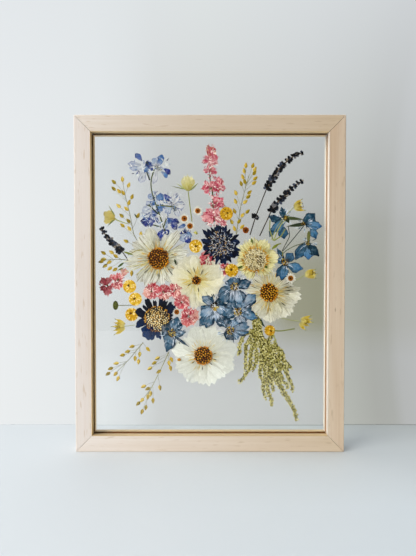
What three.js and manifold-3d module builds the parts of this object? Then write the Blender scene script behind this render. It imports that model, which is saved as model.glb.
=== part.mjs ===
// A frame of pressed flowers. Two panes of glass sit in a groove around the inside
// of four mitred wooden rails, and dry flowers lie flat between the panes.
// Millimetres, +Z up, the front faces -Y, origin under the middle of the frame.
import * as THREE from 'three';
import { mergeVertices } from 'three/addons/utils/BufferGeometryUtils.js';
import Module from 'manifold-3d';

const wasm = await Module();
wasm.setup();

// Glass, two panes of a standard picture size
const GLASS_WIDTH = 279.4;
const GLASS_HEIGHT = 355.6;
const GLASS_THICKNESS = 2;
const GLASS_SPACING = 2.4;

// Wooden rails, grooved to take the edge of the glass
const RAIL_WIDTH = 19;
const RAIL_DEPTH = 20;
const GLASS_BITE = 4.8;
const GROOVE_CLEARANCE = 0.3;
const EASED_EDGE = 0.7;
const MITRE_GAP = 0.3;
const FRAME_WIDTH = GLASS_WIDTH + 2 * (RAIL_WIDTH - GLASS_BITE);
const FRAME_HEIGHT = GLASS_HEIGHT + 2 * (RAIL_WIDTH - GLASS_BITE);

// Dry flowers lie in thin layers between the panes, layer 0 nearest the back pane
const LAYER_PITCH = 0.26;
const PETAL_THICKNESS = 0.2;
const LAYER_MARGIN = 0.03;
const FRONT_LAYER = 8;

// Half outlines of a petal, as shares of its length and width from foot to tip
const ROUNDED = [[0, 0.16], [0.35, 0.42], [0.75, 0.5], [0.95, 0.26], [1, 0]];
const STRAP = [[0, 0.2], [0.6, 0.5], [1, 0.25]];

// Colours
const PALE_WOOD = '#dccbb0';
const CLEAR_GLASS = '#e4eeea';
const WHITE = '#eceae2';
const IVORY = '#dcd8bc';
const CREAM = '#e2d9a4';
const NAVY = '#1d2c5c';
const STEEL_BLUE = '#6487b4';
const LILAC_BLUE = '#a9b2dc';
const PINK = '#dd8494';
const CRIMSON = '#96303c';
const VIOLET_GREY = '#4b4658';
const STRAW = '#bd9437';
const YELLOW = '#dfb53c';
const OLIVE = '#8a8844';
const DARK_GREEN = '#26382f';

// Joins and closing of solids

/** Position-only geometry with shared vertices and no collapsed triangles. */
function weld(geometry) {
  const bare = geometry.clone();
  bare.deleteAttribute('normal');
  bare.deleteAttribute('uv');
  const merged = mergeVertices(bare, 1e-4);
  const index = Array.from(merged.index.array);
  const kept = [];
  for (let i = 0; i < index.length; i += 3) {
    const [a, b, c] = index.slice(i, i + 3);
    if (a !== b && b !== c && c !== a) kept.push(a, b, c);
  }
  merged.setIndex(kept);
  return merged;
}

function toSolid(geometry) {
  const welded = weld(geometry);
  return new wasm.Manifold(new wasm.Mesh({
    numProp: 3,
    vertProperties: new Float32Array(welded.attributes.position.array),
    triVerts: new Uint32Array(welded.index.array),
  }));
}

/** One closed body from geometries that overlap. */
function fuse(geometries) {
  let whole = toSolid(geometries[0]);
  for (const geometry of geometries.slice(1)) whole = whole.add(toSolid(geometry));
  const mesh = whole.getMesh();
  const fused = new THREE.BufferGeometry();
  fused.setAttribute('position', new THREE.BufferAttribute(mesh.vertProperties, 3));
  fused.setIndex(Array.from(mesh.triVerts));
  const faceted = fused.toNonIndexed();
  faceted.computeVertexNormals();
  return faceted;
}

const part = new THREE.Group();
part.name = 'pressed_flower_frame';

function addPiece(name, geometries, color, roughness = 0.8) {
  const material = new THREE.MeshStandardMaterial({ color, roughness, metalness: 0 });
  const mesh = new THREE.Mesh(fuse(geometries), material);
  mesh.name = name;
  part.add(mesh);
}

// Wooden rails

/** One rail lying along X with its outer face at z = 0 and mitred ends. */
function rail(length) {
  const half = RAIL_DEPTH / 2;
  const grooveFloor = RAIL_WIDTH - GLASS_BITE - GROOVE_CLEARANCE;
  const grooveHalf = GLASS_SPACING / 2 + GLASS_THICKNESS + GROOVE_CLEARANCE;
  const side = [
    [0, half - EASED_EDGE], [EASED_EDGE, half],
    [RAIL_WIDTH - EASED_EDGE / 2, half], [RAIL_WIDTH, half - EASED_EDGE / 2],
    [RAIL_WIDTH, grooveHalf], [grooveFloor, grooveHalf],
  ];
  const mirrored = side.map(([inward, y]) => [inward, -y]).reverse();
  const profile = [...side, ...mirrored].map(([inward, y]) => new THREE.Vector2(inward, y));
  const geometry = new THREE.ExtrudeGeometry(new THREE.Shape(profile), {
    depth: length,
    bevelEnabled: false,
  });
  geometry.translate(0, 0, -length / 2);
  const position = geometry.attributes.position;
  const gapAlongRail = MITRE_GAP / Math.SQRT2;
  for (let i = 0; i < position.count; i += 1) {
    const end = Math.sign(position.getZ(i));
    position.setZ(i, end * (length / 2 - position.getX(i) - gapAlongRail));
  }
  geometry.rotateY(-Math.PI / 2);
  return geometry;
}

const bottomRail = rail(FRAME_WIDTH);
const topRail = rail(FRAME_WIDTH).rotateY(Math.PI).translate(0, 0, FRAME_HEIGHT);
const leftRail = rail(FRAME_HEIGHT).rotateY(Math.PI / 2);
leftRail.translate(-FRAME_WIDTH / 2, 0, FRAME_HEIGHT / 2);
const rightRail = rail(FRAME_HEIGHT).rotateY(-Math.PI / 2);
rightRail.translate(FRAME_WIDTH / 2, 0, FRAME_HEIGHT / 2);
addPiece('frame_rail_bottom', [bottomRail], PALE_WOOD, 0.6);
addPiece('frame_rail_top', [topRail], PALE_WOOD, 0.6);
addPiece('frame_rail_left', [leftRail], PALE_WOOD, 0.6);
addPiece('frame_rail_right', [rightRail], PALE_WOOD, 0.6);

// Panes of glass

function pane(y) {
  const glass = new THREE.BoxGeometry(GLASS_WIDTH, GLASS_THICKNESS, GLASS_HEIGHT);
  return glass.translate(0, y, FRAME_HEIGHT / 2);
}

const PANE_OFFSET = (GLASS_SPACING + GLASS_THICKNESS) / 2;
addPiece('glass_front', [pane(-PANE_OFFSET)], CLEAR_GLASS, 0.05);
addPiece('glass_back', [pane(PANE_OFFSET)], CLEAR_GLASS, 0.05);

// Outlines of pressed parts

function layerBack(layer) {
  return GLASS_SPACING / 2 - LAYER_MARGIN - layer * LAYER_PITCH;
}

/** A thin slab in one layer from an outline of [x, z] points. */
function flat(points, layer) {
  const shape = new THREE.Shape(points.map(([x, z]) => new THREE.Vector2(x, z)));
  const slab = new THREE.ExtrudeGeometry(shape, { depth: PETAL_THICKNESS, bevelEnabled: false });
  slab.rotateX(Math.PI / 2);
  return slab.translate(0, layerBack(layer), 0);
}

/** A petal from its foot to its tip, with a half outline from the lists above. */
function petal([footX, footZ, tipX, tipZ, width], half, layer) {
  const alongX = tipX - footX;
  const alongZ = tipZ - footZ;
  const length = Math.hypot(alongX, alongZ);
  const acrossX = -alongZ / length * width;
  const acrossZ = alongX / length * width;
  const place = (along, across) => [
    footX + alongX * along + acrossX * across,
    footZ + alongZ * along + acrossZ * across,
  ];
  const otherSide = half.filter(([, across]) => across > 0).reverse();
  const left = half.map(([along, across]) => place(along, across));
  const right = otherSide.map(([along, across]) => place(along, -across));
  return flat([...left, ...right], layer);
}

/**
 * One outline for petals around a centre, each given as [degrees, length, width].
 * Every petal has two shoulders, with a blunt tip between them, and a notch at the
 * hub parts it from the next one. Petals that crowd each other are cut off midway.
 */
function rosette([x, z], petals, hub, layer, shoulder = 0.82) {
  const points = [];
  const add = (angle, radius) => {
    points.push([x + radius * Math.cos(angle), z + radius * Math.sin(angle)]);
  };
  const ring = petals.map(([degrees, length, width]) => {
    const angle = THREE.MathUtils.degToRad(THREE.MathUtils.euclideanModulo(degrees, 360));
    return { angle, length, spread: Math.asin(width / 2 / (length * shoulder)) };
  });
  ring.sort((one, other) => one.angle - other.angle);
  ring.forEach(({ angle, length, spread }, i) => {
    const previous = ring[(i + ring.length - 1) % ring.length];
    const next = ring[(i + 1) % ring.length];
    const turnBack = THREE.MathUtils.euclideanModulo(angle - previous.angle, Math.PI * 2);
    const turnOn = THREE.MathUtils.euclideanModulo(next.angle - angle, Math.PI * 2);
    const before = Math.min(spread, turnBack * 0.47);
    const after = Math.min(spread, turnOn * 0.47);
    const crowded = spread + next.spread > turnOn;
    add(angle - before, length * shoulder);
    add(angle - before * 0.45, length);
    add(angle + after * 0.45, length);
    add(angle + after, length * shoulder);
    add(angle + turnOn / 2, crowded ? Math.min(length, next.length) * 0.66 : hub);
  });
  return flat(points, layer);
}

/** A band that follows a line of [x, z] points and tapers from one width to another. */
function strand(line, startWidth, endWidth, layer) {
  const left = [];
  const right = [];
  line.forEach(([x, z], i) => {
    const [fromX, fromZ] = line[Math.max(i - 1, 0)];
    const [toX, toZ] = line[Math.min(i + 1, line.length - 1)];
    const reach = Math.hypot(toX - fromX, toZ - fromZ);
    const share = i / (line.length - 1);
    const half = THREE.MathUtils.lerp(startWidth, endWidth, share) / 2;
    const acrossX = -(toZ - fromZ) / reach * half;
    const acrossZ = (toX - fromX) / reach * half;
    left.push([x + acrossX, z + acrossZ]);
    right.unshift([x - acrossX, z - acrossZ]);
  });
  return flat([...left, ...right], layer);
}

/** A star outline with rays of one radius and notches of another. */
function star([x, z], rays, rayRadius, notchRadius, layer, turn = 0) {
  const points = [];
  for (let i = 0; i < rays * 2; i += 1) {
    const angle = turn + i * Math.PI / rays;
    const radius = i % 2 === 0 ? rayRadius : notchRadius;
    points.push([x + radius * Math.cos(angle), z + radius * Math.sin(angle)]);
  }
  return flat(points, layer);
}

/** A low round cushion that fills the depth from one layer to another. */
function cushion([x, z], radius, backLayer, frontLayer, sides = 16) {
  const back = layerBack(backLayer);
  const front = layerBack(frontLayer) - PETAL_THICKNESS;
  const profile = [
    new THREE.Vector2(0, -back),
    new THREE.Vector2(radius, -back),
    new THREE.Vector2(radius * 0.88, -front),
    new THREE.Vector2(0, -front),
  ];
  const dome = new THREE.LatheGeometry(profile, sides);
  dome.rotateX(Math.PI);
  return dome.translate(x, 0, z);
}

// White and cream cosmos, petals around a cushion of ripe seeds

const COSMOS = [
  {
    name: 'white_cosmos_left', centre: [-59.8, 222.1], disc: 12.4, layer: 3, color: WHITE,
    petals: [
      [106, 37, 17.5], [136, 35.5, 10.5], [170, 28, 9.5], [191, 39.5, 15], [236, 36.5, 17.5],
      [275, 33.5, 15], [295, 32.5, 11.5], [355, 28, 10.5], [20, 39.5, 12.5], [52, 40.5, 12.5],
      [73, 30, 4.5],
    ],
  },
  {
    name: 'ivory_cosmos_middle', centre: [-16, 196.9], disc: 5.3, layer: 4, color: IVORY,
    petals: [
      [118, 30, 19.5], [77, 29.5, 10], [31, 32.5, 19.5], [-8, 32.5, 17.5], [-51, 30.5, 16],
      [-87, 34, 15], [-118, 25.5, 12.5], [178, 30, 19.5], [205, 28, 14],
    ],
  },
  {
    name: 'white_cosmos_bottom', centre: [-7.9, 109.2], disc: 10.7, layer: 3, color: WHITE,
    petals: [
      [108, 35.5, 16], [71, 38, 17.5], [49, 39, 12.5], [14, 40.5, 17.5], [-23, 39.5, 15],
      [-43, 35.5, 15], [-75, 36.5, 18.5], [-120, 36, 17.5], [-153, 36, 16], [164, 38, 17.5],
      [140, 28, 9.5],
    ],
  },
  {
    name: 'cream_cosmos_right', centre: [68.4, 182.8], disc: 10.5, layer: 3, color: IVORY,
    petals: [
      [-9, 39, 14], [-44, 38, 17.5], [-86, 36, 15], [-129, 30, 11.5], [172, 28, 10.5],
      [135, 25.5, 9.5], [85, 26.5, 11.5], [51, 28, 7], [35, 28, 9.5], [5, 38, 4.5],
    ],
  },
];

for (const { name, centre, disc, layer, color, petals } of COSMOS) {
  const corolla = rosette(centre, petals, disc * 1.05, layer, 0.86);
  addPiece(name, [corolla, cushion(centre, disc, layer, FRONT_LAYER)], color);
}

// Scabiosa heads, one cream and two navy with many narrow petals

const SCABIOSAS = [
  {
    name: 'cream_scabiosa', centre: [52.8, 220.8], disc: 14.3, back: 4, layer: 4,
    front: FRONT_LAYER, color: CREAM,
    petals: [
      [93, 26.5, 10.5], [59, 26, 15], [9, 28, 16], [-30, 26.5, 14], [246, 25, 14],
      [207, 25, 11.5], [180, 23, 9.5], [144, 24, 11.5], [113, 26.5, 12.5],
    ],
  },
  {
    name: 'navy_scabiosa_top', centre: [12.9, 237.7], disc: 11, back: 5, layer: 5,
    front: FRONT_LAYER, color: NAVY,
    petals: [
      [105, 26, 6], [95, 25, 4.5], [81, 22.5, 7], [63, 19, 6], [43, 19.5, 6], [11, 23.5, 7],
      [-6, 19.5, 8], [-28, 26.5, 6], [-41, 23.5, 7], [-63, 22.5, 7], [-82, 25, 7.5],
      [-98, 19.5, 6], [-115, 17.5, 6], [191, 22.5, 9.5], [167, 25, 7], [142, 29.5, 4.5],
      [132, 26.5, 4], [124, 21.5, 6],
    ],
  },
  {
    name: 'navy_scabiosa_left', centre: [-60.9, 151.9], disc: 14.9, back: 4, layer: 7,
    front: 7, color: NAVY,
    petals: [
      [119, 27, 6.5], [99, 22.5, 4], [79, 25, 5], [64, 25.5, 5], [46, 26.5, 6.5], [33, 27, 7],
      [15, 20, 3], [3, 19, 2.5], [-9, 19, 3.5], [-24, 20, 4], [-50, 23, 6], [-85, 25.5, 5],
      [-98, 20, 3], [-122, 29, 10.5], [-111, 28, 7], [197, 28, 7], [221, 25, 8],
      [186, 23, 4.5], [158, 28.5, 8.5], [137, 25, 3.5],
    ],
  },
];

for (const { name, centre, disc, back, layer, front, color, petals } of SCABIOSAS) {
  const corolla = rosette(centre, petals, disc * 1.05, layer);
  addPiece(name, [corolla, cushion(centre, disc, back, front)], color);
}

// Flower spikes, petals given as foot x, foot z, tip x, tip z and width

const DELPHINIUM_PETALS = [
  [-79.5, 332, -87, 342, 6], [-76, 329, -91, 330.5, 7], [-77, 324, -83, 322, 4.5],
  [-74, 322, -83, 311.5, 8], [-72.5, 324, -77.5, 308.5, 7], [-68, 329, -70.5, 320.5, 7],
  [-80, 332, -66, 328, 6], [-79, 324, -68, 325, 8], [-62, 327.5, -63.5, 335.5, 8],
  [-61, 327.5, -54, 343, 10], [-59.5, 326.5, -46, 320, 6.5], [-60.5, 324, -48.5, 315.5, 5],
  [-63.5, 325, -67, 308, 8], [-63.5, 326.5, -70.5, 331, 6], [-63.5, 292, -72.5, 294.5, 6.5],
  [-64.5, 292, -54, 293, 8], [-63.5, 292, -57.5, 286, 6], [-55, 293.5, -45.5, 291, 5],
  [-44, 283, -37, 297, 9.5], [-43, 282.5, -29.5, 283, 9.5], [-44, 282.5, -35.5, 273.5, 8],
  [-43, 282, -57.5, 274.5, 11], [-44, 283, -53, 291, 9.5], [-44, 282, -48.5, 273.5, 7],
  [-69, 282, -79.5, 279.5, 7], [-69.5, 282.5, -75, 272.5, 7], [-69.5, 282.5, -66, 273.5, 6.5],
  [-70.5, 281.5, -72.5, 291, 6], [-60.5, 260.5, -79.5, 264.5, 9.5], [-63.5, 260, -70.5, 273, 8],
  [-58, 261.5, -64.5, 271, 6], [-47, 266, -49.5, 273.5, 6], [-48, 269, -38, 259.5, 8.5],
  [-46, 269, -51, 262, 6.5], [-46, 267.5, -44, 256, 7], [-55.5, 258, -59.5, 242.5, 9.5],
  [-55, 258.5, -46, 254, 6], [-46, 258, -26.5, 258.5, 5], [-34, 257.5, -25.5, 263, 3.5],
  [-28.5, 241.5, -19.5, 251.5, 8], [-24, 253, -30, 242.5, 7], [-29, 257, -33.5, 239, 6],
];
const DELPHINIUM_STEMS = [
  [[-64, 325], [-69.5, 312.5], [-67, 296.5], [-61, 280.5], [-52, 254]],
  [[-70.5, 284], [-60, 273.5]], [[-49.5, 271], [-53, 260]], [[-66, 261], [-56.5, 258.5]],
  [[-73, 322], [-69.5, 312.5]], [[-44, 282], [-62, 284]],
];
const LARKSPUR_PETALS = [
  [-1, 337, -1.5, 351.5, 5], [0, 337, 5.5, 350, 7], [0.5, 337, 11, 339.5, 6.5],
  [0, 333.5, -10, 335.5, 5], [0, 334.5, -5.5, 341, 4], [0, 335.5, 7.5, 338, 7],
  [0, 334.5, 10.5, 330.5, 6], [0.5, 334.5, 2, 327.5, 7], [0, 325.5, -9, 322.5, 5],
  [0, 324.5, -4.5, 328, 3.5], [-1, 324, 7, 326.5, 4.5], [0, 323.5, 5, 318, 4],
  [2, 321, 9.5, 322, 3.5], [4, 306, -11, 302, 6.5], [-1.5, 306, -6, 312, 5],
  [-0.5, 305, -7, 296.5, 5], [5, 304.5, 0, 312, 7], [6, 303.5, 6.5, 312.5, 7],
  [4, 304.5, 14, 301, 7.5], [5, 304.5, 4, 298, 6], [9.5, 303, 10.5, 318, 6],
  [12, 302, 14, 315, 5], [10, 304, 19, 303, 6], [9, 313, 3.5, 315.5, 3.5],
  [5, 286, 8, 295.5, 6], [6, 286.5, 17, 291.5, 6.5], [6, 286.5, 18.5, 282, 7],
  [6, 288, 3, 279, 6], [5, 270, -12, 270, 12], [4.5, 272.5, -5.5, 278.5, 7],
  [4.5, 271.5, 1.5, 281, 6], [4, 270.5, 10.5, 281, 7], [3.5, 272, 13, 265.5, 8],
  [4.5, 270, -1, 262, 7], [7, 268.5, 21, 259.5, 6],
];
const LARKSPUR_STEM = [[0, 338], [0, 312.5], [3, 301], [3.5, 285], [5, 264.5]];

function spike(petals, stems, layer) {
  const stemSlabs = stems.map((line) => strand(line, 1.6, 2.2, layer));
  return [...stemSlabs, ...petals.map((one) => petal(one, STRAP, layer))];
}

addPiece('delphinium_sprig', spike(DELPHINIUM_PETALS, DELPHINIUM_STEMS, 1), LILAC_BLUE);
addPiece('larkspur_spike', spike(LARKSPUR_PETALS, [LARKSPUR_STEM], 1), PINK);

// Lavender, dark whorls along a thin stem

const LAVENDERS = [
  {
    name: 'lavender_tall',
    whorls: [
      [105.1, 343.2], [95.9, 340.3], [89, 334.5], [83.3, 330.5], [78.1, 324.7], [79.4, 318.4],
      [71.8, 312.7], [65.8, 302.3], [52.4, 268.8],
    ],
    stem: [[105, 343], [89, 334.5], [78, 321], [65.2, 299], [53.4, 271.8], [46.5, 249.3]],
  },
  {
    name: 'lavender_right',
    whorls: [
      [107.7, 310.4], [100.7, 306.9], [93.8, 302.3], [88, 298.9], [81.1, 290.8], [76.5, 282.8],
      [71.2, 274.1],
    ],
    stem: [[107.5, 310.5], [93.8, 302.5], [81, 291], [71, 274], [67.7, 269.4], [57.7, 248.1]],
  },
  {
    name: 'lavender_left',
    whorls: [
      [-124.7, 254.1], [-121.5, 248.1], [-115.7, 243.5], [-109.9, 237.7], [-105.9, 234.2],
      [-102.3, 231.7],
    ],
    stem: [[-124.5, 254], [-121, 248], [-110, 237.5], [-102.3, 231.7], [-94.6, 219.9]],
  },
];

for (const { name, whorls, stem } of LAVENDERS) {
  const whorlSlabs = whorls.map((at, i) => star(at, 3, 4.4, 3, 1, i * 1.1));
  addPiece(name, [strand(stem, 1, 1.2, 1), ...whorlSlabs], VIOLET_GREY);
}

// Quaking grass, seed heads on hair-thin stalks that leave one stem

const GRASSES = [
  {
    name: 'grass_upper_left',
    stem: [
      [-101.1, 311.8], [-97.3, 291.8], [-92.7, 274.1], [-90.4, 261.2], [-88, 248.2],
      [-84.4, 243.5], [-78.7, 231.9],
    ],
    heads: [
      [-111.1, 310.6], [-101, 313.8], [-93.7, 307.1], [-111.4, 302.9], [-105.1, 300],
      [-100.4, 298.2], [-89.9, 293.6], [-93.5, 286.9], [-105.8, 283], [-96.8, 279.8],
      [-102.4, 271.8], [-82.9, 272], [-94.4, 265.7], [-101.5, 260.6], [-93.5, 257],
      [-79.9, 250.6], [-97.3, 242.3],
    ],
  },
  {
    name: 'grass_far_left',
    stem: [[-122, 221.5], [-115.4, 221], [-99.9, 221], [-89.2, 218]],
    heads: [
      [-123.6, 228.7], [-114.2, 229.4], [-123.6, 221.3], [-126.4, 218.4], [-109.4, 225],
      [-117.1, 217.6], [-121.9, 213.4], [-116.3, 210.4], [-110.3, 209.2], [-90.8, 204.5],
    ],
  },
  {
    name: 'grass_upper_middle',
    stem: [[45.2, 318.8], [40.5, 301.2], [35.8, 282.4], [30.5, 249.4]],
    heads: [
      [41.6, 329.6], [39.6, 323.5], [37.9, 316.5], [36.1, 308.8], [40.2, 311.2], [49.7, 329.4],
      [52.1, 325.2], [51.7, 321.1], [52.7, 314.7], [51.3, 309.6], [29.9, 298.2], [29.6, 288.3],
      [46, 298.6], [44.7, 293.7], [41.1, 287.7], [43.8, 276.5], [38, 272.4], [28.5, 277.1],
      [34.1, 265.3], [25.2, 264.8], [28.4, 257], [37.6, 258.9],
    ],
  },
  {
    name: 'grass_lower_left',
    stem: [[-107.6, 91], [-94.5, 104.1], [-77.7, 124.4]],
    heads: [
      [-90.9, 119.6], [-96.1, 113.7], [-102, 109.5], [-109.4, 99.9], [-116, 93.7],
      [-119, 87.6], [-110.1, 87.5], [-107.3, 81.9], [-81.8, 110.3], [-87.2, 105.4],
      [-83.2, 101.7], [-71.9, 116.3],
    ],
  },
  {
    name: 'grass_lower_middle',
    stem: [[-80.4, 55], [-68.5, 70.6], [-56.5, 94.5], [-47.5, 113.7]],
    heads: [
      [-61.3, 105.8], [-65, 100.2], [-70.2, 93.9], [-59.8, 90.1], [-47.5, 99.9],
      [-44.6, 104.1], [-45.8, 93.9], [-58.3, 71.1], [-77.6, 72.8], [-72.7, 70],
      [-69.2, 64.1], [-72.4, 60.5], [-66.4, 55.9], [-79.3, 56.6], [-83.8, 52.6],
      [-74.8, 47.8], [-79.3, 43],
    ],
  },
];
const HEAD_LENGTH = 4.8;
const HEAD_WIDTH = 2.6;
const STALK_WIDTH = 0.5;
const STALK_SLANT = 1.3;

/** The point of the stem from which a seed head's stalk rises or hangs. */
function stalkRoot([x, z], stem) {
  const line = new THREE.CurvePath();
  for (let i = 1; i < stem.length; i += 1) {
    const from = new THREE.Vector2(...stem[i - 1]);
    line.add(new THREE.LineCurve(from, new THREE.Vector2(...stem[i])));
  }
  const head = new THREE.Vector2(x, z);
  const samples = line.getSpacedPoints(60);
  const distances = samples.map((at) => at.distanceTo(head));
  const nearest = distances.indexOf(Math.min(...distances));
  const spacing = line.getLength() / 60;
  const step = Math.round(distances[nearest] * STALK_SLANT / spacing);
  return samples[Math.min(nearest + step + 1, 59)];
}

/** A seed head and its stalk in one outline, from the stem to the tip of the head. */
function headOnStalk(at, stem, layer) {
  const root = stalkRoot(at, stem);
  const tip = new THREE.Vector2(...at);
  const along = tip.clone().sub(root).normalize();
  const across = new THREE.Vector2(-along.y, along.x);
  const foot = tip.clone().addScaledVector(along, -HEAD_LENGTH / 2);
  const belly = tip.clone().addScaledVector(along, -HEAD_LENGTH * 0.05);
  tip.addScaledVector(along, HEAD_LENGTH / 2);
  const stations = [[foot, STALK_WIDTH], [belly, HEAD_WIDTH]];
  const left = stations.map(([p, w]) => [p.x + across.x * w / 2, p.y + across.y * w / 2]);
  const right = stations.map(([p, w]) => [p.x - across.x * w / 2, p.y - across.y * w / 2]);
  return flat([[root.x, root.y], ...left, [tip.x, tip.y], ...right.reverse()], layer);
}

for (const { name, stem, heads } of GRASSES) {
  const headSlabs = heads.map((at) => headOnStalk(at, stem, 0));
  addPiece(name, [strand(stem, 0.7, 1.1, 0), ...headSlabs], STRAW);
}

// Cream bell, yellow cup and the four small yellow stars, each on its own stalk

const bellDome = flat([
  [-28.2, 299.5], [-32.2, 305.8], [-31.5, 311], [-28.5, 314.3], [-25.3, 315.5],
  [-21.5, 313.8], [-18.8, 310.5], [-18.3, 304.6], [-22.4, 299.5],
], 1);
const bellParts = [
  petal([-25, 301, -39, 309, 3], STRAP, 1),
  petal([-25, 301, -45.5, 306, 2], STRAP, 1),
  petal([-25, 301, -13, 309.5, 3], STRAP, 1),
  strand([[-25.3, 302], [-23, 282], [-20.7, 264.8]], 1, 1.2, 1),
];
addPiece('cream_bell_flower', [bellDome, ...bellParts], CREAM);

const cupBowl = flat([
  [-124.5, 275.6], [-118, 277.5], [-111.5, 277.8], [-108, 272.5], [-109.8, 265.5],
  [-116.5, 262.7], [-124.1, 262.3], [-121.4, 268.9],
], 1);
const cupParts = [
  petal([-112, 272, -117.3, 283.6, 2.5], STRAP, 1),
  petal([-113, 267, -118.8, 259.2, 3], STRAP, 1),
  strand([[-112, 270], [-107, 266], [-93.9, 261.9]], 2, 1, 1),
];
addPiece('yellow_cup_flower', [cupBowl, ...cupParts], YELLOW);

const STAR_CUPS = [
  { centre: [101.3, 282.1], layer: 6, stem: [[87.6, 272.4], [76.6, 257.4], [70.8, 243.5]] },
  { centre: [117.3, 203.5], layer: 4, stem: [[103.3, 197.5], [93.1, 193.7]] },
  { centre: [111.9, 147.8], layer: 2, stem: [[95.6, 150.1], [77.5, 154.1]] },
  { centre: [-105.6, 141.5], layer: 2, stem: [[-100.1, 143.1], [-87.1, 144.8]] },
];
STAR_CUPS.forEach(({ centre, layer, stem }, i) => {
  const blossom = star(centre, 5, 8.2, 3.6, layer, i * 0.9 + 1.9);
  const stalk = strand([centre, ...stem], 1.6, 0.9, layer);
  addPiece(`star_cup_${i + 1}`, [blossom, stalk], YELLOW);
});

// Yellow buttons, thin round heads

const BUTTONS = [
  { centre: [19.1, 273.8], radius: 7.6, layer: 8 },
  { centre: [-16.3, 236.3], radius: 7.6, layer: 8 },
  { centre: [25.3, 208.3], radius: 7.6, layer: 8 },
  { centre: [-93.1, 189.7], radius: 7.6, layer: 6 },
  { centre: [-86.5, 174.9], radius: 7.6, layer: 6 },
  { centre: [-90.6, 157.1], radius: 7.6, layer: 6 },
  { centre: [69.5, 138.6], radius: 6.2, layer: 8 },
];
const BUTTON_TWIG = [[69.5, 138.6], [82.8, 138], [98.5, 140.7]];
BUTTONS.forEach(({ centre, radius, layer }, i) => {
  const pieces = [cushion(centre, radius, layer, layer)];
  if (i === BUTTONS.length - 1) pieces.push(strand(BUTTON_TWIG, 1.4, 0.8, layer));
  addPiece(`yellow_button_${i + 1}`, pieces, YELLOW);
});

// Tiny daisies

const DAISIES = [
  [[-14, 277], 5.8], [[-29.5, 268.2], 5.8], [[-23, 259.5], 5.8], [[41.4, 254.7], 4.6],
  [[93.5, 199.2], 6.5], [[-38.4, 160.1], 4.8],
];
DAISIES.forEach(([centre, radius], i) => {
  addPiece(`tiny_daisy_${i + 1}`, [star(centre, 9, radius, radius * 0.68, FRONT_LAYER)], WHITE);
});

// Pink florets

const PINK_FLORETS = [
  { centre: [-64, 183.9], radius: 10, layer: 5 },
  { centre: [-50.3, 182], radius: 7.5, layer: 6 },
  { centre: [-38.4, 185.6], radius: 7.5, layer: 5 },
  { centre: [-31.3, 172.6], radius: 10, layer: 6 },
];
const FLORET_PETALS = 5;
const floretFans = PINK_FLORETS.map(({ centre, radius, layer }, i) => {
  const petals = [];
  for (let k = 0; k < FLORET_PETALS; k += 1) {
    petals.push([90 + i * 25 + k * 360 / FLORET_PETALS, radius, radius * 0.78]);
  }
  return [rosette(centre, petals, radius * 0.35, layer)];
});
const LOOSE_FLORETS = [
  {
    layer: 5,
    petals: [
      [-24, 156.5, -34.5, 157.5, 7], [-24.5, 156, -24, 167, 8], [-25, 156.5, -15, 161, 9.5],
      [-24, 157.5, -13.5, 144, 8], [-24.5, 157, -25.5, 141, 8], [-23.5, 156, -33, 146, 7],
    ],
  },
  {
    layer: 2,
    petals: [
      [-120, 190.6, -125.6, 201.2, 7.5], [-119, 191.6, -127.1, 186.8, 7],
      [-120, 192, -119.6, 178.1, 8], [-120.5, 191, -114.5, 186, 6],
    ],
  },
  {
    layer: 2,
    petals: [
      [-106, 192, -112, 202, 7.5], [-106, 192.5, -102, 205.5, 9.5],
      [-105.5, 194, -110.5, 185.5, 6.5], [-107, 193, -99, 189, 7],
    ],
  },
  {
    layer: 2,
    petals: [
      [-1.5, 222, -8, 227.5, 7], [-2, 222, 0, 232.5, 8], [-2.5, 223.5, 3.5, 218, 7],
      [-1.5, 223, -5.5, 214.5, 6],
    ],
  },
  {
    layer: 2,
    petals: [[17.5, 207.5, 13, 214.5, 5], [17, 208, 20.5, 216.5, 6], [17.5, 209.5, 15.5, 203, 4.5]],
  },
];
for (const { layer, petals } of LOOSE_FLORETS) {
  floretFans.push(petals.map((one) => petal(one, STRAP, layer)));
}
floretFans.forEach((slabs, i) => {
  addPiece(`pink_floret_${i + 1}`, slabs, i === 5 ? CRIMSON : PINK);
});

// Blue florets

const BLUE_FLORETS = [
  {
    name: 'blue_floret_1', centre: [29.7, 189.4], layer: 7,
    petals: [
      [16, 19.5, 8.5], [104, 11.5, 10.5], [168, 12.5, 7], [199, 23, 8], [-107, 19.5, 9.5],
      [-68, 21, 8.5],
    ],
  },
  {
    name: 'blue_floret_2', centre: [5.3, 166.4], layer: 6,
    petals: [[139, 18.5, 7], [37, 14, 6.5], [-113, 28, 10.5], [-73, 18.5, 9.5], [224, 19, 9.5]],
  },
  {
    name: 'blue_floret_3', centre: [33.1, 158.6], layer: 5,
    petals: [[44, 26.5, 9.5], [31, 15, 11.5], [-13, 22.5, 8], [122, 17, 8], [195, 20.5, 9.5]],
  },
  {
    name: 'blue_floret_4', centre: [24.1, 138], layer: 7,
    petals: [
      [69, 13.5, 12], [10, 22, 7], [-6, 21, 4.5], [-47, 14.5, 7], [-109, 11.5, 7],
      [137, 12, 3.5],
    ],
  },
  {
    name: 'blue_floret_lower', centre: [-43.4, 133.3], layer: 8,
    petals: [
      [138, 17, 7], [74, 22, 9.5], [225, 12.5, 10.5], [-110, 21, 6], [12, 16, 4.5],
      [-36, 24, 1.7],
    ],
  },
];
for (const { name, centre, layer, petals } of BLUE_FLORETS) {
  addPiece(name, [rosette(centre, petals, 3.5, layer)], STEEL_BLUE);
}

// Blue sprig at the right, four spurred flowers on forked stems

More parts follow.
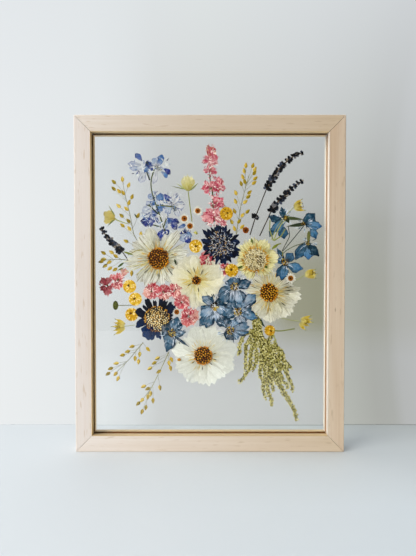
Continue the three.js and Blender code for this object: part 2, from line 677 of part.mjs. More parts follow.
const BLUE_SPRIG_PETALS = [
  [77.5, 258.5, 65, 274.5, 9.5], [77, 258.5, 81, 278, 6], [77.5, 259.5, 62.5, 248, 8],
  [76.5, 260.5, 71, 244.5, 7], [75, 258.5, 106.5, 268, 2.5],
  [119.5, 262, 120.5, 274, 6], [118, 265, 126.5, 258.5, 7], [119.5, 266, 120.5, 246, 7],
  [121, 264.5, 93, 259, 2.5],
  [114, 232.5, 94, 224, 7], [112, 235, 111.5, 222.5, 7], [111, 234, 118.5, 227.5, 6],
  [106, 243.5, 113, 231, 2.5],
  [88, 217, 79, 235.5, 4.5], [87.5, 217, 95, 231, 8], [86, 218, 107, 212, 10.5],
  [88, 218.5, 82.5, 198.5, 10.5], [88, 219, 77, 202, 6],
];
const BLUE_SPRIG_STEMS = [
  [[88, 218], [85.5, 232], [90.5, 246], [90.5, 264]],
  [[86, 233], [95, 246], [108, 260], [110, 263.5]],
  [[86, 232.5], [98, 237], [110, 238]],
];
addPiece('blue_sprig_right', [
  ...BLUE_SPRIG_STEMS.map((line) => strand(line, 1.5, 1.2, 5)),
  ...BLUE_SPRIG_PETALS.map((one) => petal(one, STRAP, 5)),
], STEEL_BLUE);

// Green bud and dark leaf

addPiece('flat_green_bud', [
  petal([-109.6, 162, -109.6, 173, 6], ROUNDED, 1),
  strand([[-110, 167.6], [-88.2, 167.8]], 1.2, 0.8, 1),
], OLIVE);
addPiece('dark_leaf', [strand([[51.5, 158], [54.5, 152], [60, 146], [64.5, 142]], 4, 3, 2)],
  DARK_GREEN);

// Amaranth tassel, thick strands of tiny dry flowers hanging from one stem

const TASSEL_STRANDS = [
  [[51, 138], [40, 134], [35.1, 123.5], [34.9, 115.6], [33.2, 110.4]],
  [[52, 137], [46.6, 129.5], [41.5, 119.3], [42, 107.2], [41.5, 92.6]],
  [[50, 128], [47.7, 107.8], [46.7, 94.7], [40.9, 84.8], [34.7, 78.5]],
  [[53.9, 113], [54.5, 102.6], [50.3, 91.6]],
  [[54, 156], [51.5, 142], [52.5, 126], [54.8, 108]],
  [[60.7, 116], [59.2, 97.3], [58.7, 85.7], [61.9, 78.4]],
  [[65.4, 99], [63.9, 78.3], [61.9, 71], [64.5, 58.9]],
  [[69, 90], [67.1, 68.9], [71.3, 59.4], [72.4, 51.5]],
  [[71, 84], [74.4, 66.8]],
  [[77.5, 90], [83, 79], [90, 75.7], [91.1, 70]],
  [[74, 104], [80, 100.5], [85.9, 95.7], [91.1, 84.6], [96.2, 75.1], [96.3, 68.3]],
  [[78, 107], [84.5, 104.6], [91, 99.3], [94.6, 94.5]],
  [[66, 121], [72.6, 118.2], [82, 116.7], [86.2, 110.4], [84.5, 102.2]],
  [[54.9, 144.3], [62.2, 128.6], [67.4, 115.6], [72.7, 107.8], [77.8, 101]],
  [[66, 112], [68.5, 97], [70.2, 81.6]],
  [[66.5, 124], [74, 132.9]],
];
const TASSEL_SPINE = [
  [54, 152], [55.5, 138], [60.7, 121], [65.4, 106], [71, 93], [78.5, 79], [85.5, 67.5],
  [92.5, 56], [98.5, 45], [101.8, 34.6],
];
addPiece('amaranth_tassel', [
  strand(TASSEL_SPINE, 9, 4, 0),
  ...TASSEL_STRANDS.map((line) => strand(line, 5.5, 4, 0)),
], OLIVE);

export default part;
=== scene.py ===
import math

import bpy
import numpy as np
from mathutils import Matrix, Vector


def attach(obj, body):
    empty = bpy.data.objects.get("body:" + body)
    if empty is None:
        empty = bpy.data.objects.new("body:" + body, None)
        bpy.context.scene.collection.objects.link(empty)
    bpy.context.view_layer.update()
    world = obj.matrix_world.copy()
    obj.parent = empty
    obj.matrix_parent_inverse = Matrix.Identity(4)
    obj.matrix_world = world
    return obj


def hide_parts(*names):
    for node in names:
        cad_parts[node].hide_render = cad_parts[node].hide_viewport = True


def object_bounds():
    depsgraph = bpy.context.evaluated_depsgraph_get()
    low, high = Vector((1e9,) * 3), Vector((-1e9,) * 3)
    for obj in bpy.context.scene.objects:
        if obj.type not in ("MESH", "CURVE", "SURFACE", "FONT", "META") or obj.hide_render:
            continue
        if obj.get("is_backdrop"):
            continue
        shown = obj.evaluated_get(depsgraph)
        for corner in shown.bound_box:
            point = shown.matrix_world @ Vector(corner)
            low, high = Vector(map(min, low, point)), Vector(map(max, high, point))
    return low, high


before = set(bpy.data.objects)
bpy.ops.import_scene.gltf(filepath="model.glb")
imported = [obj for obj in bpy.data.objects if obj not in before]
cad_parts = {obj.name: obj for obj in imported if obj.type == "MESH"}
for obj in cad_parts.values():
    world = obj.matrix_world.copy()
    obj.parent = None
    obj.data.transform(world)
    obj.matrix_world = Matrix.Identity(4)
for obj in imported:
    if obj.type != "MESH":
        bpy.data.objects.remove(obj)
cad_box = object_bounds()

# Camera and studio
# The frame stands upright near the back edge of a pale ground, before a backdrop; both carry
# painted shade and shadow. Soft light comes from the left and from above, and it is dim behind the
# viewer.

MM = 0.001
scene = bpy.context.scene
scene.view_settings.view_transform = "Standard"

EYE = (-2.16 * MM, -484 * MM, 209.6 * MM)
EYE_DOWN = 1.2
camera_data = bpy.data.cameras.new("camera")
camera_data.lens = 27.0
camera_data.sensor_width = 36.0
camera = bpy.data.objects.new("camera", camera_data)
camera.location = EYE
camera.rotation_euler = (math.radians(90 - EYE_DOWN), 0, 0)
scene.collection.objects.link(camera)
scene.camera = camera


def colour(code):
    """Linear RGBA of a six-digit sRGB code: each channel c goes to ((c + 0.055) / 1.055) ** 2.4."""
    channels = [int(code[i:i + 2], 16) / 255 for i in (0, 2, 4)]
    linear = [c / 12.92 if c <= 0.04045 else ((c + 0.055) / 1.055) ** 2.4 for c in channels]
    return (*linear, 1.0)


def feed(tree, socket, value):
    """Link an output socket to an input socket, or set the input to a plain value."""
    if isinstance(value, bpy.types.NodeSocket):
        tree.links.new(value, socket)
    else:
        socket.default_value = value


def node(tree, kind, inputs=(), **settings):
    """One shader node. Inputs are (socket, value or output socket) pairs."""
    made = tree.nodes.new("ShaderNode" + kind)
    for key, value in settings.items():
        setattr(made, key, value)
    for socket, value in inputs:
        feed(tree, made.inputs[socket], value)
    return made


def ramp(tree, factor, stops):
    """Colour ramp output from a factor and (place, colour code) stops."""
    made = node(tree, "ValToRGB", [("Fac", factor)])
    elements = made.color_ramp.elements
    for place, code in stops[2:]:
        elements.new(place)
    for element, (place, code) in zip(elements, stops):
        element.position = place
        element.color = colour(code)
    return made.outputs["Color"]


def math_node(tree, operation, first, second=0.0, clamp=False):
    """Output of one arithmetic node."""
    return node(tree, "Math", [(0, first), (1, second)], operation=operation,
                use_clamp=clamp).outputs[0]


def map_range(tree, value, low, high, start=0.0, end=1.0):
    """Output that goes from start to end, and no further, as the value goes from low to high."""
    return node(tree, "MapRange", [
        (0, value), (1, low), (2, high), (3, start), (4, end)]).outputs[0]


def blend(tree, factor, first, second, mode="MIX"):
    """Colour output of a mix between two colours."""
    return node(tree, "Mix", [(0, factor), (6, first), (7, second)], data_type="RGBA",
                blend_type=mode).outputs[2]


def new_material(name):
    """An empty node material with its Principled shader wired to the output."""
    material = bpy.data.materials.new(name)
    material.use_nodes = True
    tree = material.node_tree
    return material, tree, tree.nodes["Principled BSDF"]


def axes(tree, coordinates):
    """X, Y and Z outputs of the object's own coordinates, or of the world's directions."""
    place = node(tree, "TexCoord").outputs[coordinates]
    return node(tree, "SeparateXYZ", [(0, place)]).outputs


TABLE_FRONT = -0.93
TABLE_BACK = 0.0757
TABLE_HALF_WIDTH = 1.6
TABLE_THICKNESS = 0.03
EDGE_LINE = 0.003
corners = np.array([(x, y, z) for z in (-TABLE_THICKNESS, 0.0)
                    for y in (TABLE_FRONT, TABLE_BACK)
                    for x in (-TABLE_HALF_WIDTH, TABLE_HALF_WIDTH)])
table_mesh = bpy.data.meshes.new("table_top")
table_mesh.from_pydata(corners.tolist(), [], [
    (0, 2, 3, 1), (4, 5, 7, 6), (0, 1, 5, 4), (1, 3, 7, 5), (3, 2, 6, 7), (2, 0, 4, 6)])
table_top = bpy.data.objects.new("table_top", table_mesh)
scene.collection.objects.link(table_top)
table_top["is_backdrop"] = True
table_material, tree, shader = new_material("pale_table")
spot = axes(tree, "Object")
# Painted shadow on the ground: it grows darker towards the right and the back, where the frame's
# shadow falls, and a little darker towards the right as a whole, away from the window light.
dim = math_node(tree, "MULTIPLY", map_range(tree, spot["X"], -0.15, 0.22),
                map_range(tree, spot["Y"], -0.12, 0.07))
tint = blend(tree, dim, colour("d7dde1"), colour("c0c3c1"))
tint = blend(tree, map_range(tree, spot["Y"], -0.22, -0.6), tint, colour("8c8e8e"))
shadow_side = math_node(tree, "MULTIPLY", map_range(tree, spot["Y"], -0.3, -0.5),
                        map_range(tree, spot["X"], -0.2, -0.05))
tint = blend(tree, shadow_side, tint, colour("4c4c4a"))
tint = blend(tree, map_range(tree, spot["X"], -0.05, 0.15), tint, colour("f7f9fa"), "MULTIPLY")
# Painted shadow: a thin dark line along the back edge of the ground, stronger to the right.
back_edge_shadow = math_node(
    tree, "MULTIPLY", math_node(tree, "GREATER_THAN", spot["Y"], TABLE_BACK - EDGE_LINE),
    map_range(tree, spot["X"], -0.2, 0.15, 0.1, 0.7))
tree.links.new(blend(tree, back_edge_shadow, tint, colour("74766f")), shader.inputs["Base Color"])
shader.inputs["Roughness"].default_value = 0.55
table_mesh.materials.append(table_material)

world = bpy.data.worlds.new("room")
scene.world = world
world.use_nodes = True
tree = world.node_tree
direction = axes(tree, "Generated")
sideways = map_range(tree, direction["X"], -0.5, 0.5)
# Painted light on the backdrop: the lower part is brightest on the left, where the window light
# falls, and darker to the right, with a band of painted shadow just right of the frame.
low = ramp(tree, sideways, [
    (0.0, "edf0f1"), (0.27, "e4e8e9"), (0.33, "dbdfe0"), (0.39, "cccecd"), (0.48, "c8cac8"),
    (0.62, "c3c5c3"), (0.71, "bfc1bf"), (0.75, "babcb9"), (0.81, "b3b6b0"), (0.86, "aaaca7"),
    (0.89, "abada9"), (0.91, "b4b6b5"), (1.0, "bec0c2")])
high = ramp(tree, sideways, [(0.0, "e4e8ec"), (0.5, "dfe4e5"), (1.0, "d2d6db")])
wall = blend(tree, map_range(tree, direction["Z"], 0.1, 0.6), low, high)
# Painted shadow: a soft warm patch on the backdrop behind the right part of the frame, where the
# flowers' shadow falls on the wall.
shaded = math_node(tree, "MULTIPLY", ramp(tree, sideways, [
    (0.6, "000000"), (0.69, "ffffff"), (0.76, "ffffff"), (0.8, "888888")]), ramp(
        tree, math_node(tree, "ADD", direction["Z"], 0.5), [
            (0.31, "000000"), (0.38, "ffffff"), (0.48, "ffffff"), (0.64, "000000")]))
wall = blend(tree, shaded, wall, colour("dbd8be"), "MULTIPLY")
dim_side = ramp(tree, sideways, [(0.0, "6a6c6c"), (0.5, "2c2c2a"), (1.0, "1c1c1a")])
room = blend(tree, map_range(tree, direction["Y"], 0.1, -0.5), wall, dim_side)
tree.nodes["Background"].inputs["Strength"].default_value = 1.0
tree.links.new(room, tree.nodes["Background"].inputs["Color"])


def area_light(name, place, aim, size, watts, tint):
    """A square soft lamp turned so that it shines from its place to its aim."""
    data = bpy.data.lights.new(name, "AREA")
    data.size = size
    data.energy = watts
    data.color = colour(tint)[:3]
    lamp = bpy.data.objects.new(name, data)
    lamp.location = place
    step = np.array(aim) - np.array(place)
    lamp.rotation_euler = (math.atan2(math.hypot(step[0], step[1]), -step[2]), 0,
                           math.atan2(step[1], step[0]) - math.pi / 2)
    scene.collection.objects.link(lamp)


area_light("window", (-1.5, -1.1, 0.9), (0, 0, 0.2), 1.3, 38, "fffaf2")
area_light("sky", (-0.2, -0.5, 1.9), (0, 0, 0.1), 1.6, 12, "f2f7ff")

# Wooden rails
# Four planed rails of pale maple, mitred at the corners and grooved inside for the
# glass. The groove is painted dark brown as painted shade, the inner reveal faces carry
# painted light that differs from rail to rail, and each rail has its own tint and grain.

# Each rail: grain direction, pale and tan grain colours, grain offset, the colour of the inner reveal
# faces (painted bounce light, set rail by rail) and the groove colour (painted shade).
RAILS = {
    "frame_rail_top": ("X", "f0e7e0", "decfbb", 1.7, "f4d6a4", "8c5018"),
    "frame_rail_bottom": ("X", "f4ebe5", "e6d8ca", 5.3, "c8ac80", "6c3c10"),
    "frame_rail_left": ("Z", "eee6e1", "e1d3c7", 9.1, "fcd490", "9a5c14"),
    "frame_rail_right": ("Z", "f0dcc4", "dabc9b", 3.4, "d0c6ba", "b2855f"),
}
FRAME_MIDDLE = 0.192
GROOVE_HALF_DEPTH = 3.6 * MM
GROOVE_X, GROOVE_Z = 0.145, 0.183
REVEAL_X, REVEAL_Z = 0.1356, 0.1736
GRAIN_ALONG, GRAIN_ACROSS = 7.0, 420.0
BROAD_ALONG, BROAD_ACROSS = 0.6, 0.11
STREAKS_ALONG = 60
FLECKS_ALONG, FLECKS_ACROSS = 26, 95


def surface(tree, tint, rough, relief, strength, depth, gloss=0.5):
    """Wire a colour, a roughness, a gloss and a relief of that depth in mm to the shader."""
    bump = node(tree, "Bump", [("Height", relief), ("Strength", strength),
                               ("Distance", depth * MM)])
    for socket, value in (("Base Color", tint), ("Roughness", rough), ("Normal", bump.outputs[0]),
                          ("Specular IOR Level", gloss)):
        feed(tree, tree.nodes["Principled BSDF"].inputs[socket], value)


def maple(name, run, pale, tan, offset, inner, groove_shade):
    """Fine straight grain along the rail, a few short brown flecks, painted light on the inner reveal
    faces, and painted shade in the groove.
    """
    material, tree, _ = new_material(name)
    place = node(tree, "TexCoord").outputs["Object"]
    xyz = axes(tree, "Object")

    def stretched(source, along, across, shift=(0, 0, 0)):
        scale = (along, across, across) if run == "X" else (across, across, along)
        return node(tree, "Mapping", [
            ("Vector", source), ("Location", shift), ("Scale", scale)]).outputs[0]

    def within(share, reach_x, reach_z):
        for axis, middle, reach in (("X", 0.0, reach_x), ("Z", FRAME_MIDDLE, reach_z)):
            away = math_node(tree, "ABSOLUTE", math_node(tree, "SUBTRACT", xyz[axis], middle))
            near = math_node(tree, "LESS_THAN", away, reach)
            share = math_node(tree, "MULTIPLY", share, near)
        return share

    lengthwise = stretched(place, GRAIN_ALONG, GRAIN_ACROSS, (offset, offset, offset))
    fibres = node(tree, "TexNoise", [
        ("Vector", lengthwise), ("Scale", 1.0), ("Detail", 5.0), ("Roughness", 0.6)])
    bands = node(tree, "TexNoise", [
        ("Vector", stretched(lengthwise, BROAD_ALONG, BROAD_ACROSS)), ("Scale", 1.0),
        ("Detail", 2.0)])
    fine = ramp(tree, fibres.outputs["Fac"], [(0.3, pale), (0.75, tan)])
    broad = ramp(tree, bands.outputs["Fac"], [(0.42, pale), (0.68, tan)])
    tint = blend(tree, 0.45, fine, broad)
    # The top and bottom rails grow a little darker and warmer towards the right.
    if run == "X":
        tint = blend(tree, map_range(tree, xyz["X"], -0.15, 0.15), tint, colour("f6e9d2"),
                     "MULTIPLY")
    streaks = node(tree, "TexNoise", [
        ("Vector", stretched(place, STREAKS_ALONG, GRAIN_ACROSS, (offset, 0, 2 * offset))),
        ("Scale", 1.0), ("Detail", 1.0)])
    tint = blend(tree, map_range(tree, streaks.outputs["Fac"], 0.64, 0.74, 0, 0.38), tint,
                 colour("c0a37c"))
    flecks = node(tree, "TexVoronoi", [
        ("Vector", stretched(place, FLECKS_ALONG, FLECKS_ACROSS, (offset, offset, offset))),
        ("Scale", 1.0)])
    fleck = map_range(tree, flecks.outputs["Distance"], 0.05, 0.1, 0.6, 0.0)
    rare = math_node(tree, "GREATER_THAN", node(tree, "SeparateXYZ", [
        (0, flecks.outputs["Color"])]).outputs[0], 0.82)
    tint = blend(tree, math_node(tree, "MULTIPLY", fleck, rare), tint, colour("8e6a45"))
    deep = math_node(tree, "LESS_THAN", math_node(tree, "ABSOLUTE", xyz["Y"]),
                     GROOVE_HALF_DEPTH)
    # Painted light on the reveal faces inside the frame, and painted shade in the groove around the
    # glass.
    tint = blend(tree, within(1.0, REVEAL_X, REVEAL_Z), tint, colour(inner))
    tint = blend(tree, within(deep, GROOVE_X, GROOVE_Z), tint, colour(groove_shade))
    surface(tree, tint, 0.5, fibres.outputs["Fac"], 0.25, 0.1)
    return material


def dress(name, material):
    """Give a CAD piece its material."""
    for slot in bpy.data.objects[name].material_slots:
        slot.material = material


for name, finish in RAILS.items():
    dress(name, maple(name + "_maple", *finish))

# Panes of glass
# Two sheets of clear 2 mm float glass lie in the groove and press the flowers
# between them. Lamps shine through them, so the flowers are lit.

for name in ("glass_front", "glass_back"):
    material, tree, shader = new_material(name + "_clear")
    shader.inputs["Base Color"].default_value = (0.995, 1.0, 0.998, 1)
    shader.inputs["Roughness"].default_value = 0.0
    shader.inputs["IOR"].default_value = 1.5
    shader.inputs["Transmission Weight"].default_value = 1.0
    lamp_ray = node(tree, "LightPath").outputs["Is Shadow Ray"]
    open_way = node(tree, "BsdfTransparent", [("Color", (0.94, 0.96, 0.95, 1))])
    mixed = node(tree, "MixShader", [
        (0, lamp_ray), (1, shader.outputs[0]), (2, open_way.outputs[0])])
    tree.links.new(mixed.outputs[0], tree.nodes["Material Output"].inputs["Surface"])
    dress(name, material)

# Cosmos heads
# Four heads dried flat: a ring of toothed, pleated petals as thin as tissue around a
# domed cushion of ripe seeds. They lie in their own layers between the panes.

PANE_GAP = 2.4
LAYER_PITCH = 0.26
LAYER_MARGIN = 0.03
DRY_SHEEN = 0.1
PETAL_ROUGH = 0.65
VEIN_WAVES = 1.3
VEIN_SPREAD = 40.0
GRIT_SCALE = 1600.0
SHARP_EDGE = 110


def layer_back(layer):
    """How far the back of a layer lies behind the middle of the frame, in millimetres."""
    return PANE_GAP / 2 - LAYER_MARGIN - layer * LAYER_PITCH


REAR = layer_back(0)
FRONT = layer_back(8)


def add_piece(name, shape, material, stands_for=None):
    """A smooth mesh object from a shape: points in mm, faces, and facts for each point."""
    points, faces, facts = shape
    mesh = bpy.data.meshes.new(name)
    mesh.from_pydata((np.asarray(points, float) * MM).tolist(), [], faces)
    for key, values in facts.items():
        store = mesh.attributes.new(key, "FLOAT", "POINT")
        store.data.foreach_set("value", np.asarray(values, np.float32).ravel())
    mesh.polygons.foreach_set("use_smooth", np.ones(len(mesh.polygons), bool))
    mesh.materials.append(material)
    mesh.validate()
    mesh.set_sharp_from_angle(angle=math.radians(SHARP_EDGE))
    piece = bpy.data.objects.new(name, mesh)
    scene.collection.objects.link(piece)
    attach(piece, "root")
    if stands_for:
        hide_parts(stands_for)


def join(*parts):
    """Several shapes as one: faces renumbered, and the facts that all of them have kept."""
    starts = np.cumsum([0] + [len(part[0]) for part in parts])
    faces = [tuple(i + start for i in face) for start, part in zip(starts.tolist(), parts)
             for face in part[1]]
    shared = set.intersection(*(set(part[2]) for part in parts))
    facts = {key: np.concatenate([np.ravel(part[2][key]) for part in parts])
             for key in sorted(shared)}
    return np.concatenate([part[0] for part in parts]), faces, facts


def toned(shape, start, share):
    """Set the tones t of a shape to start + share t, and give the shape back."""
    shape[2]["tone"] = start + share * shape[2]["tone"]
    return shape


def fan(centre, petals):
    """Rows of foot x, foot z, tip x, tip z and width from [degrees, length, width] rows."""
    turn, length, width = np.array(petals, float).T
    turn = np.radians(turn)
    foot = np.repeat([centre], len(turn), 0)
    tip = foot + length[:, None] * np.stack([np.cos(turn), np.sin(turn)], 1)
    return np.column_stack([foot, tip, width])


TIP_CURVE = 2.4
SIDE_FALL = 2.2
EDGE_WAVES = (1.3, 3.1)
RUFFLE_WAVES = 2.3
CLEARANCE = 0.06


def petals(rows, layer, seed, steps=(18, 11), start=0.0, foot=0.2, swell=0.7, blunt=0.55,
           bow=0.12, teeth=0, tooth=0.0, bend=0.1, wander=0.05, pleats=3.0, pleat=0.02,
           ruffle=0.02, tilt=0.03, spread=0.1, thick=0.05, lift=0.0, shades=None):
    """
    Thin closed petals, one per row of foot, tip and width.

    A petal is a grid of u from foot to tip and v from edge to edge. Its half width is
    foot + (1 - foot) sin(u / swell) up to the swell and then falls to blunt at the tip.
    The tip edge is bowed back by |v| ** TIP_CURVE and cut into cosine teeth, the middle
    line bends as sin(pi u), and waves in u make the edges wander. Towards the viewer it
    rises in pleats cos(v), in a ruffle at the edges, and with a small tilt in v.
    """
    rows = np.asarray(rows, float)
    rng = np.random.default_rng(seed)
    count = len(rows)
    n, m = steps
    u = np.linspace(start, 1, n)[None, :, None]
    v = np.linspace(-1, 1, m)[None, None, :]

    def each(low=-1.0, high=1.0):
        return rng.uniform(low, high, (count, 1, 1))

    along = (rows[:, 2:4] - rows[:, 0:2])[:, None, None, :]
    length = np.linalg.norm(along, axis=-1, keepdims=True)
    along = along / length
    across = np.stack([-along[..., 1], along[..., 0]], -1)
    length, width = length[..., 0], rows[:, 4][:, None, None]
    grown = foot + (1 - foot) * np.sin(np.pi / 2 * np.clip(u / swell, 0, 1))
    past = np.clip((u - swell) / (1 - swell), 0, 1)
    half = grown * (1 - (1 - blunt) * past ** SIDE_FALL)
    slow, fast = EDGE_WAVES
    waves = [np.sin(2 * np.pi * (slow * u + each())) + 0.6 * np.sin(2 * np.pi * (
        fast * u + each())) for _ in (0, 1)]
    half = half * (1 + wander * np.where(v < 0, *waves))
    cuts = 0.5 - 0.5 * np.cos(np.pi * (teeth * (v + 1) + each(-0.3, 0.3)))
    reach = 1 - bow * np.abs(v) ** TIP_CURVE - tooth * cuts * each(0.5, 1.4) * (teeth > 0)
    run = length * u * (1 - (1 - reach) * u ** 4)
    side = width / 2 * half * v + bend * width * each() * np.sin(np.pi * u)
    flat = rows[:, 0:2][:, None, None, :] + along * run[..., None] + across * side[..., None]
    rank = rng.permutation(count)[:, None, None] / max(count - 1, 1)
    rise = spread * rank + pleat * np.cos(np.pi * pleats * v + each(-3, 3)) * np.minimum(u * 2, 1)
    rise = rise + ruffle * np.sin(2 * np.pi * (RUFFLE_WAVES * u + each())) * np.abs(v) ** 3
    rise = rise + tilt * v * each() + lift + CLEARANCE
    depth = layer_back(layer) - rise
    front = np.stack([flat[..., 0], depth + 0 * v * u, flat[..., 1]], -1)
    back = front[:, 1:-1, 1:-1] + (0, thick, 0)
    front_ids = np.arange(n * m).reshape(n, m)
    back_ids = front_ids.copy()
    back_ids[1:-1, 1:-1] = n * m + np.arange((n - 2) * (m - 2)).reshape(n - 2, m - 2)
    quads = [np.stack([i[:-1, :-1], i[1:, :-1], i[1:, 1:], i[:-1, 1:]], -1).reshape(-1, 4)
             for i in (front_ids, back_ids)]
    quads = np.concatenate([quads[0], quads[1][:, ::-1]])
    size = n * m + (n - 2) * (m - 2)
    points = np.concatenate([front.reshape(count, -1, 3), back.reshape(count, -1, 3)], 1)
    faces = (quads[None] + (np.arange(count) * size)[:, None, None]).reshape(-1, 4)

    def spread_out(grid):
        whole = np.broadcast_to(grid, (count, n, m))
        return np.concatenate([whole.reshape(count, -1), whole[:, 1:-1, 1:-1].reshape(
            count, -1)], 1)

    shade = np.zeros(count) if shades is None else np.asarray(shades, float)
    facts = {"along": spread_out(u), "across": spread_out(v), "tone": spread_out(each(0, 1)),
             "shade": spread_out(shade[:, None, None])}
    return points.reshape(-1, 3), [tuple(f) for f in faces.tolist()], facts


def closed_rings(sides, rings, count):
    """Faces of count rows of rings, each closed by a pole at its start and at its end."""
    last = 1 + rings * sides
    around = [(i, (i + 1) % sides) for i in range(sides)]
    faces = [(0, 1 + b, 1 + a) for a, b in around]
    for r in range(rings - 1):
        low, high = 1 + r * sides, 1 + (r + 1) * sides
        faces += [(low + a, low + b, high + b, high + a) for a, b in around]
    faces += [(last, last - sides + a, last - sides + b) for a, b in around]
    return [tuple(i + k * (last + 1) for i in face) for k in range(count) for face in faces]


def beads(centres, half_sizes, seed, sides=6, rings=3):
    """
    Closed egg-shaped beads: rings at sin(angle) of the half sizes (x, y, z), from a pole
    at the back to a pole at the front.
    """
    centres = np.asarray(centres, float)
    half_sizes = np.broadcast_to(np.asarray(half_sizes, float), centres.shape)
    rng = np.random.default_rng(seed)
    polar = np.pi * np.arange(1, rings + 1) / (rings + 1)
    turn = 2 * np.pi * np.arange(sides) / sides
    ring = np.stack([np.sin(polar)[:, None] * np.cos(turn),
                     np.cos(polar)[:, None] + 0 * turn,
                     np.sin(polar)[:, None] * np.sin(turn)], -1).reshape(-1, 3)
    unit = np.concatenate([[(0, 1, 0)], ring, [(0, -1, 0)]])
    points = centres[:, None, :] + unit[None] * half_sizes[:, None, :]
    tone = np.repeat(rng.uniform(0, 1, len(centres)), len(unit))
    return points.reshape(-1, 3), closed_rings(sides, rings, len(centres)), {"tone": tone}


def pad(centre, depth, radius, thick, seed, sides=28, rings=7):
    """One flat round bead, the bed of a seed head."""
    return beads([(centre[0], depth, centre[1])], [(radius, thick, radius)], seed, sides, rings)


def drops(rows, depth, thick, seed, sides=6, rings=4, peak=0.4):
    """
    Closed drops from foot to tip, one per row of foot, tip and width. At the share u of
    its length a drop is sin(pi u ** k) wide, with k so that it is widest at the peak.
    """
    rows = np.asarray(rows, float)
    count = len(rows)
    rng = np.random.default_rng(seed)
    u = (1 - np.cos(np.pi * np.arange(1, rings + 1) / (rings + 1))) / 2
    u, turn = np.repeat(u, sides), np.tile(2 * np.pi * np.arange(sides) / sides, rings)
    radius = np.sin(np.pi * u ** (math.log(0.5) / math.log(peak)))
    foot, along = rows[:, None, 0:2], (rows[:, 2:4] - rows[:, 0:2])[:, None, :]
    unit = along / np.linalg.norm(along, axis=-1, keepdims=True)
    across = np.stack([-unit[..., 1], unit[..., 0]], -1)
    ring = foot + along * u[:, None] + across * (
        radius * np.cos(turn))[:, None] * rows[:, None, 4:5] / 2
    depth = np.broadcast_to(np.asarray(depth, float).reshape(-1, 1), (count, 1))
    out = depth - radius * np.sin(turn) * thick / 2
    flat = np.concatenate([foot, ring, foot + along], 1)
    y = np.concatenate([depth, out, depth], 1)
    points = np.stack([flat[..., 0], y, flat[..., 1]], -1)
    share = np.concatenate([[0], u, [1]])
    facts = {"tone": np.repeat(rng.uniform(0, 1, count), len(share)),
             "along": np.tile(share, count)}
    return points.reshape(-1, 3), closed_rings(sides, rings, count), facts


def sunflower(centre, radius, count, depth_edge, depth_middle):
    """Centres in a spiral of golden angles, r = R sqrt(i / count), rising to the middle."""
    i = np.arange(count) + 0.5
    r = radius * np.sqrt(i / count)
    turn = i * np.pi * (3 - math.sqrt(5))
    depth = depth_middle + (depth_edge - depth_middle) * (r / radius) ** 2
    return np.stack([centre[0] + r * np.cos(turn), depth, centre[1] + r * np.sin(turn)], 1)


def attribute(tree, name):
    """A per-point number of the mesh, for a shader."""
    return node(tree, "Attribute", attribute_name=name).outputs["Fac"]


def petal_finish(name, stops, between=None, other=None, rim="ffffff", rim_share=0.2,
                 rim_from=0.72, vein="8c8c80", vein_share=0.3, veins=7.0, blotch="8c8c80",
                 blotch_share=0.15, blotch_size=4.0, values=(0.82, 1.06)):
    """
    Dried petal. The stops colour it from foot to tip, those of other where its shade is
    1 and those of between where it is 0.5. Thin veins run along it, the rim has its own
    colour, soft blotches lie over it, and each petal is a little lighter or darker.
    """
    material, tree, _ = new_material(name)
    along, across, tone = (attribute(tree, k) for k in ("along", "across", "tone"))
    body = ramp(tree, along, stops)
    shade = attribute(tree, "shade")
    if between:
        body = blend(tree, math_node(tree, "MULTIPLY", shade, 2.0, clamp=True), body,
                     ramp(tree, along, between))
        shade = math_node(tree, "MULTIPLY_ADD", shade, 2.0, clamp=True)
        shade.node.inputs[2].default_value = -1.0
    if other:
        body = blend(tree, shade, body, ramp(tree, along, other))
    lines = node(tree, "TexNoise", [
        ("Vector", node(tree, "CombineXYZ", [
            (0, math_node(tree, "MULTIPLY", across, veins)),
            (1, math_node(tree, "MULTIPLY", along, VEIN_WAVES)),
            (2, math_node(tree, "MULTIPLY", tone, VEIN_SPREAD))]).outputs[0]),
        ("Scale", 1.0), ("Detail", 3.0), ("Roughness", 0.65)])
    body = blend(tree, map_range(tree, lines.outputs["Fac"], 0.5, 0.62, 0, vein_share), body,
                 colour(vein))
    place = node(tree, "TexCoord").outputs["Object"]
    clouds = node(tree, "TexNoise", [
        ("Vector", place), ("Scale", 1 / (blotch_size * MM)), ("Detail", 3.0)])
    body = blend(tree, map_range(tree, clouds.outputs["Fac"], 0.48, 0.72, 0, blotch_share), body,
                 colour(blotch))
    edge = math_node(tree, "ABSOLUTE", across)
    body = blend(tree, map_range(tree, edge, rim_from, 1, 0, rim_share), body, colour(rim))
    lit = node(tree, "HueSaturation", [
        ("Color", body), ("Value", map_range(tree, tone, 0, 1, *values))])
    surface(tree, lit.outputs[0], PETAL_ROUGH, lines.outputs["Fac"], 0.8, 0.5, DRY_SHEEN)
    return material


def seed_finish(name, stops, rough=0.7):
    """Small seeds or buds, each with its own place on a ramp of colours."""
    material, tree, _ = new_material(name)
    place = node(tree, "TexCoord").outputs["Object"]
    grit = node(tree, "TexNoise", [
        ("Vector", place), ("Scale", GRIT_SCALE), ("Detail", 2.0)])
    own = math_node(tree, "ADD", attribute(tree, "tone"), math_node(
        tree, "MULTIPLY", math_node(tree, "SUBTRACT", grit.outputs["Fac"], 0.5), 0.5))
    surface(tree, ramp(tree, own, stops), rough, grit.outputs["Fac"], 0.4, 0.2, DRY_SHEEN)
    return material
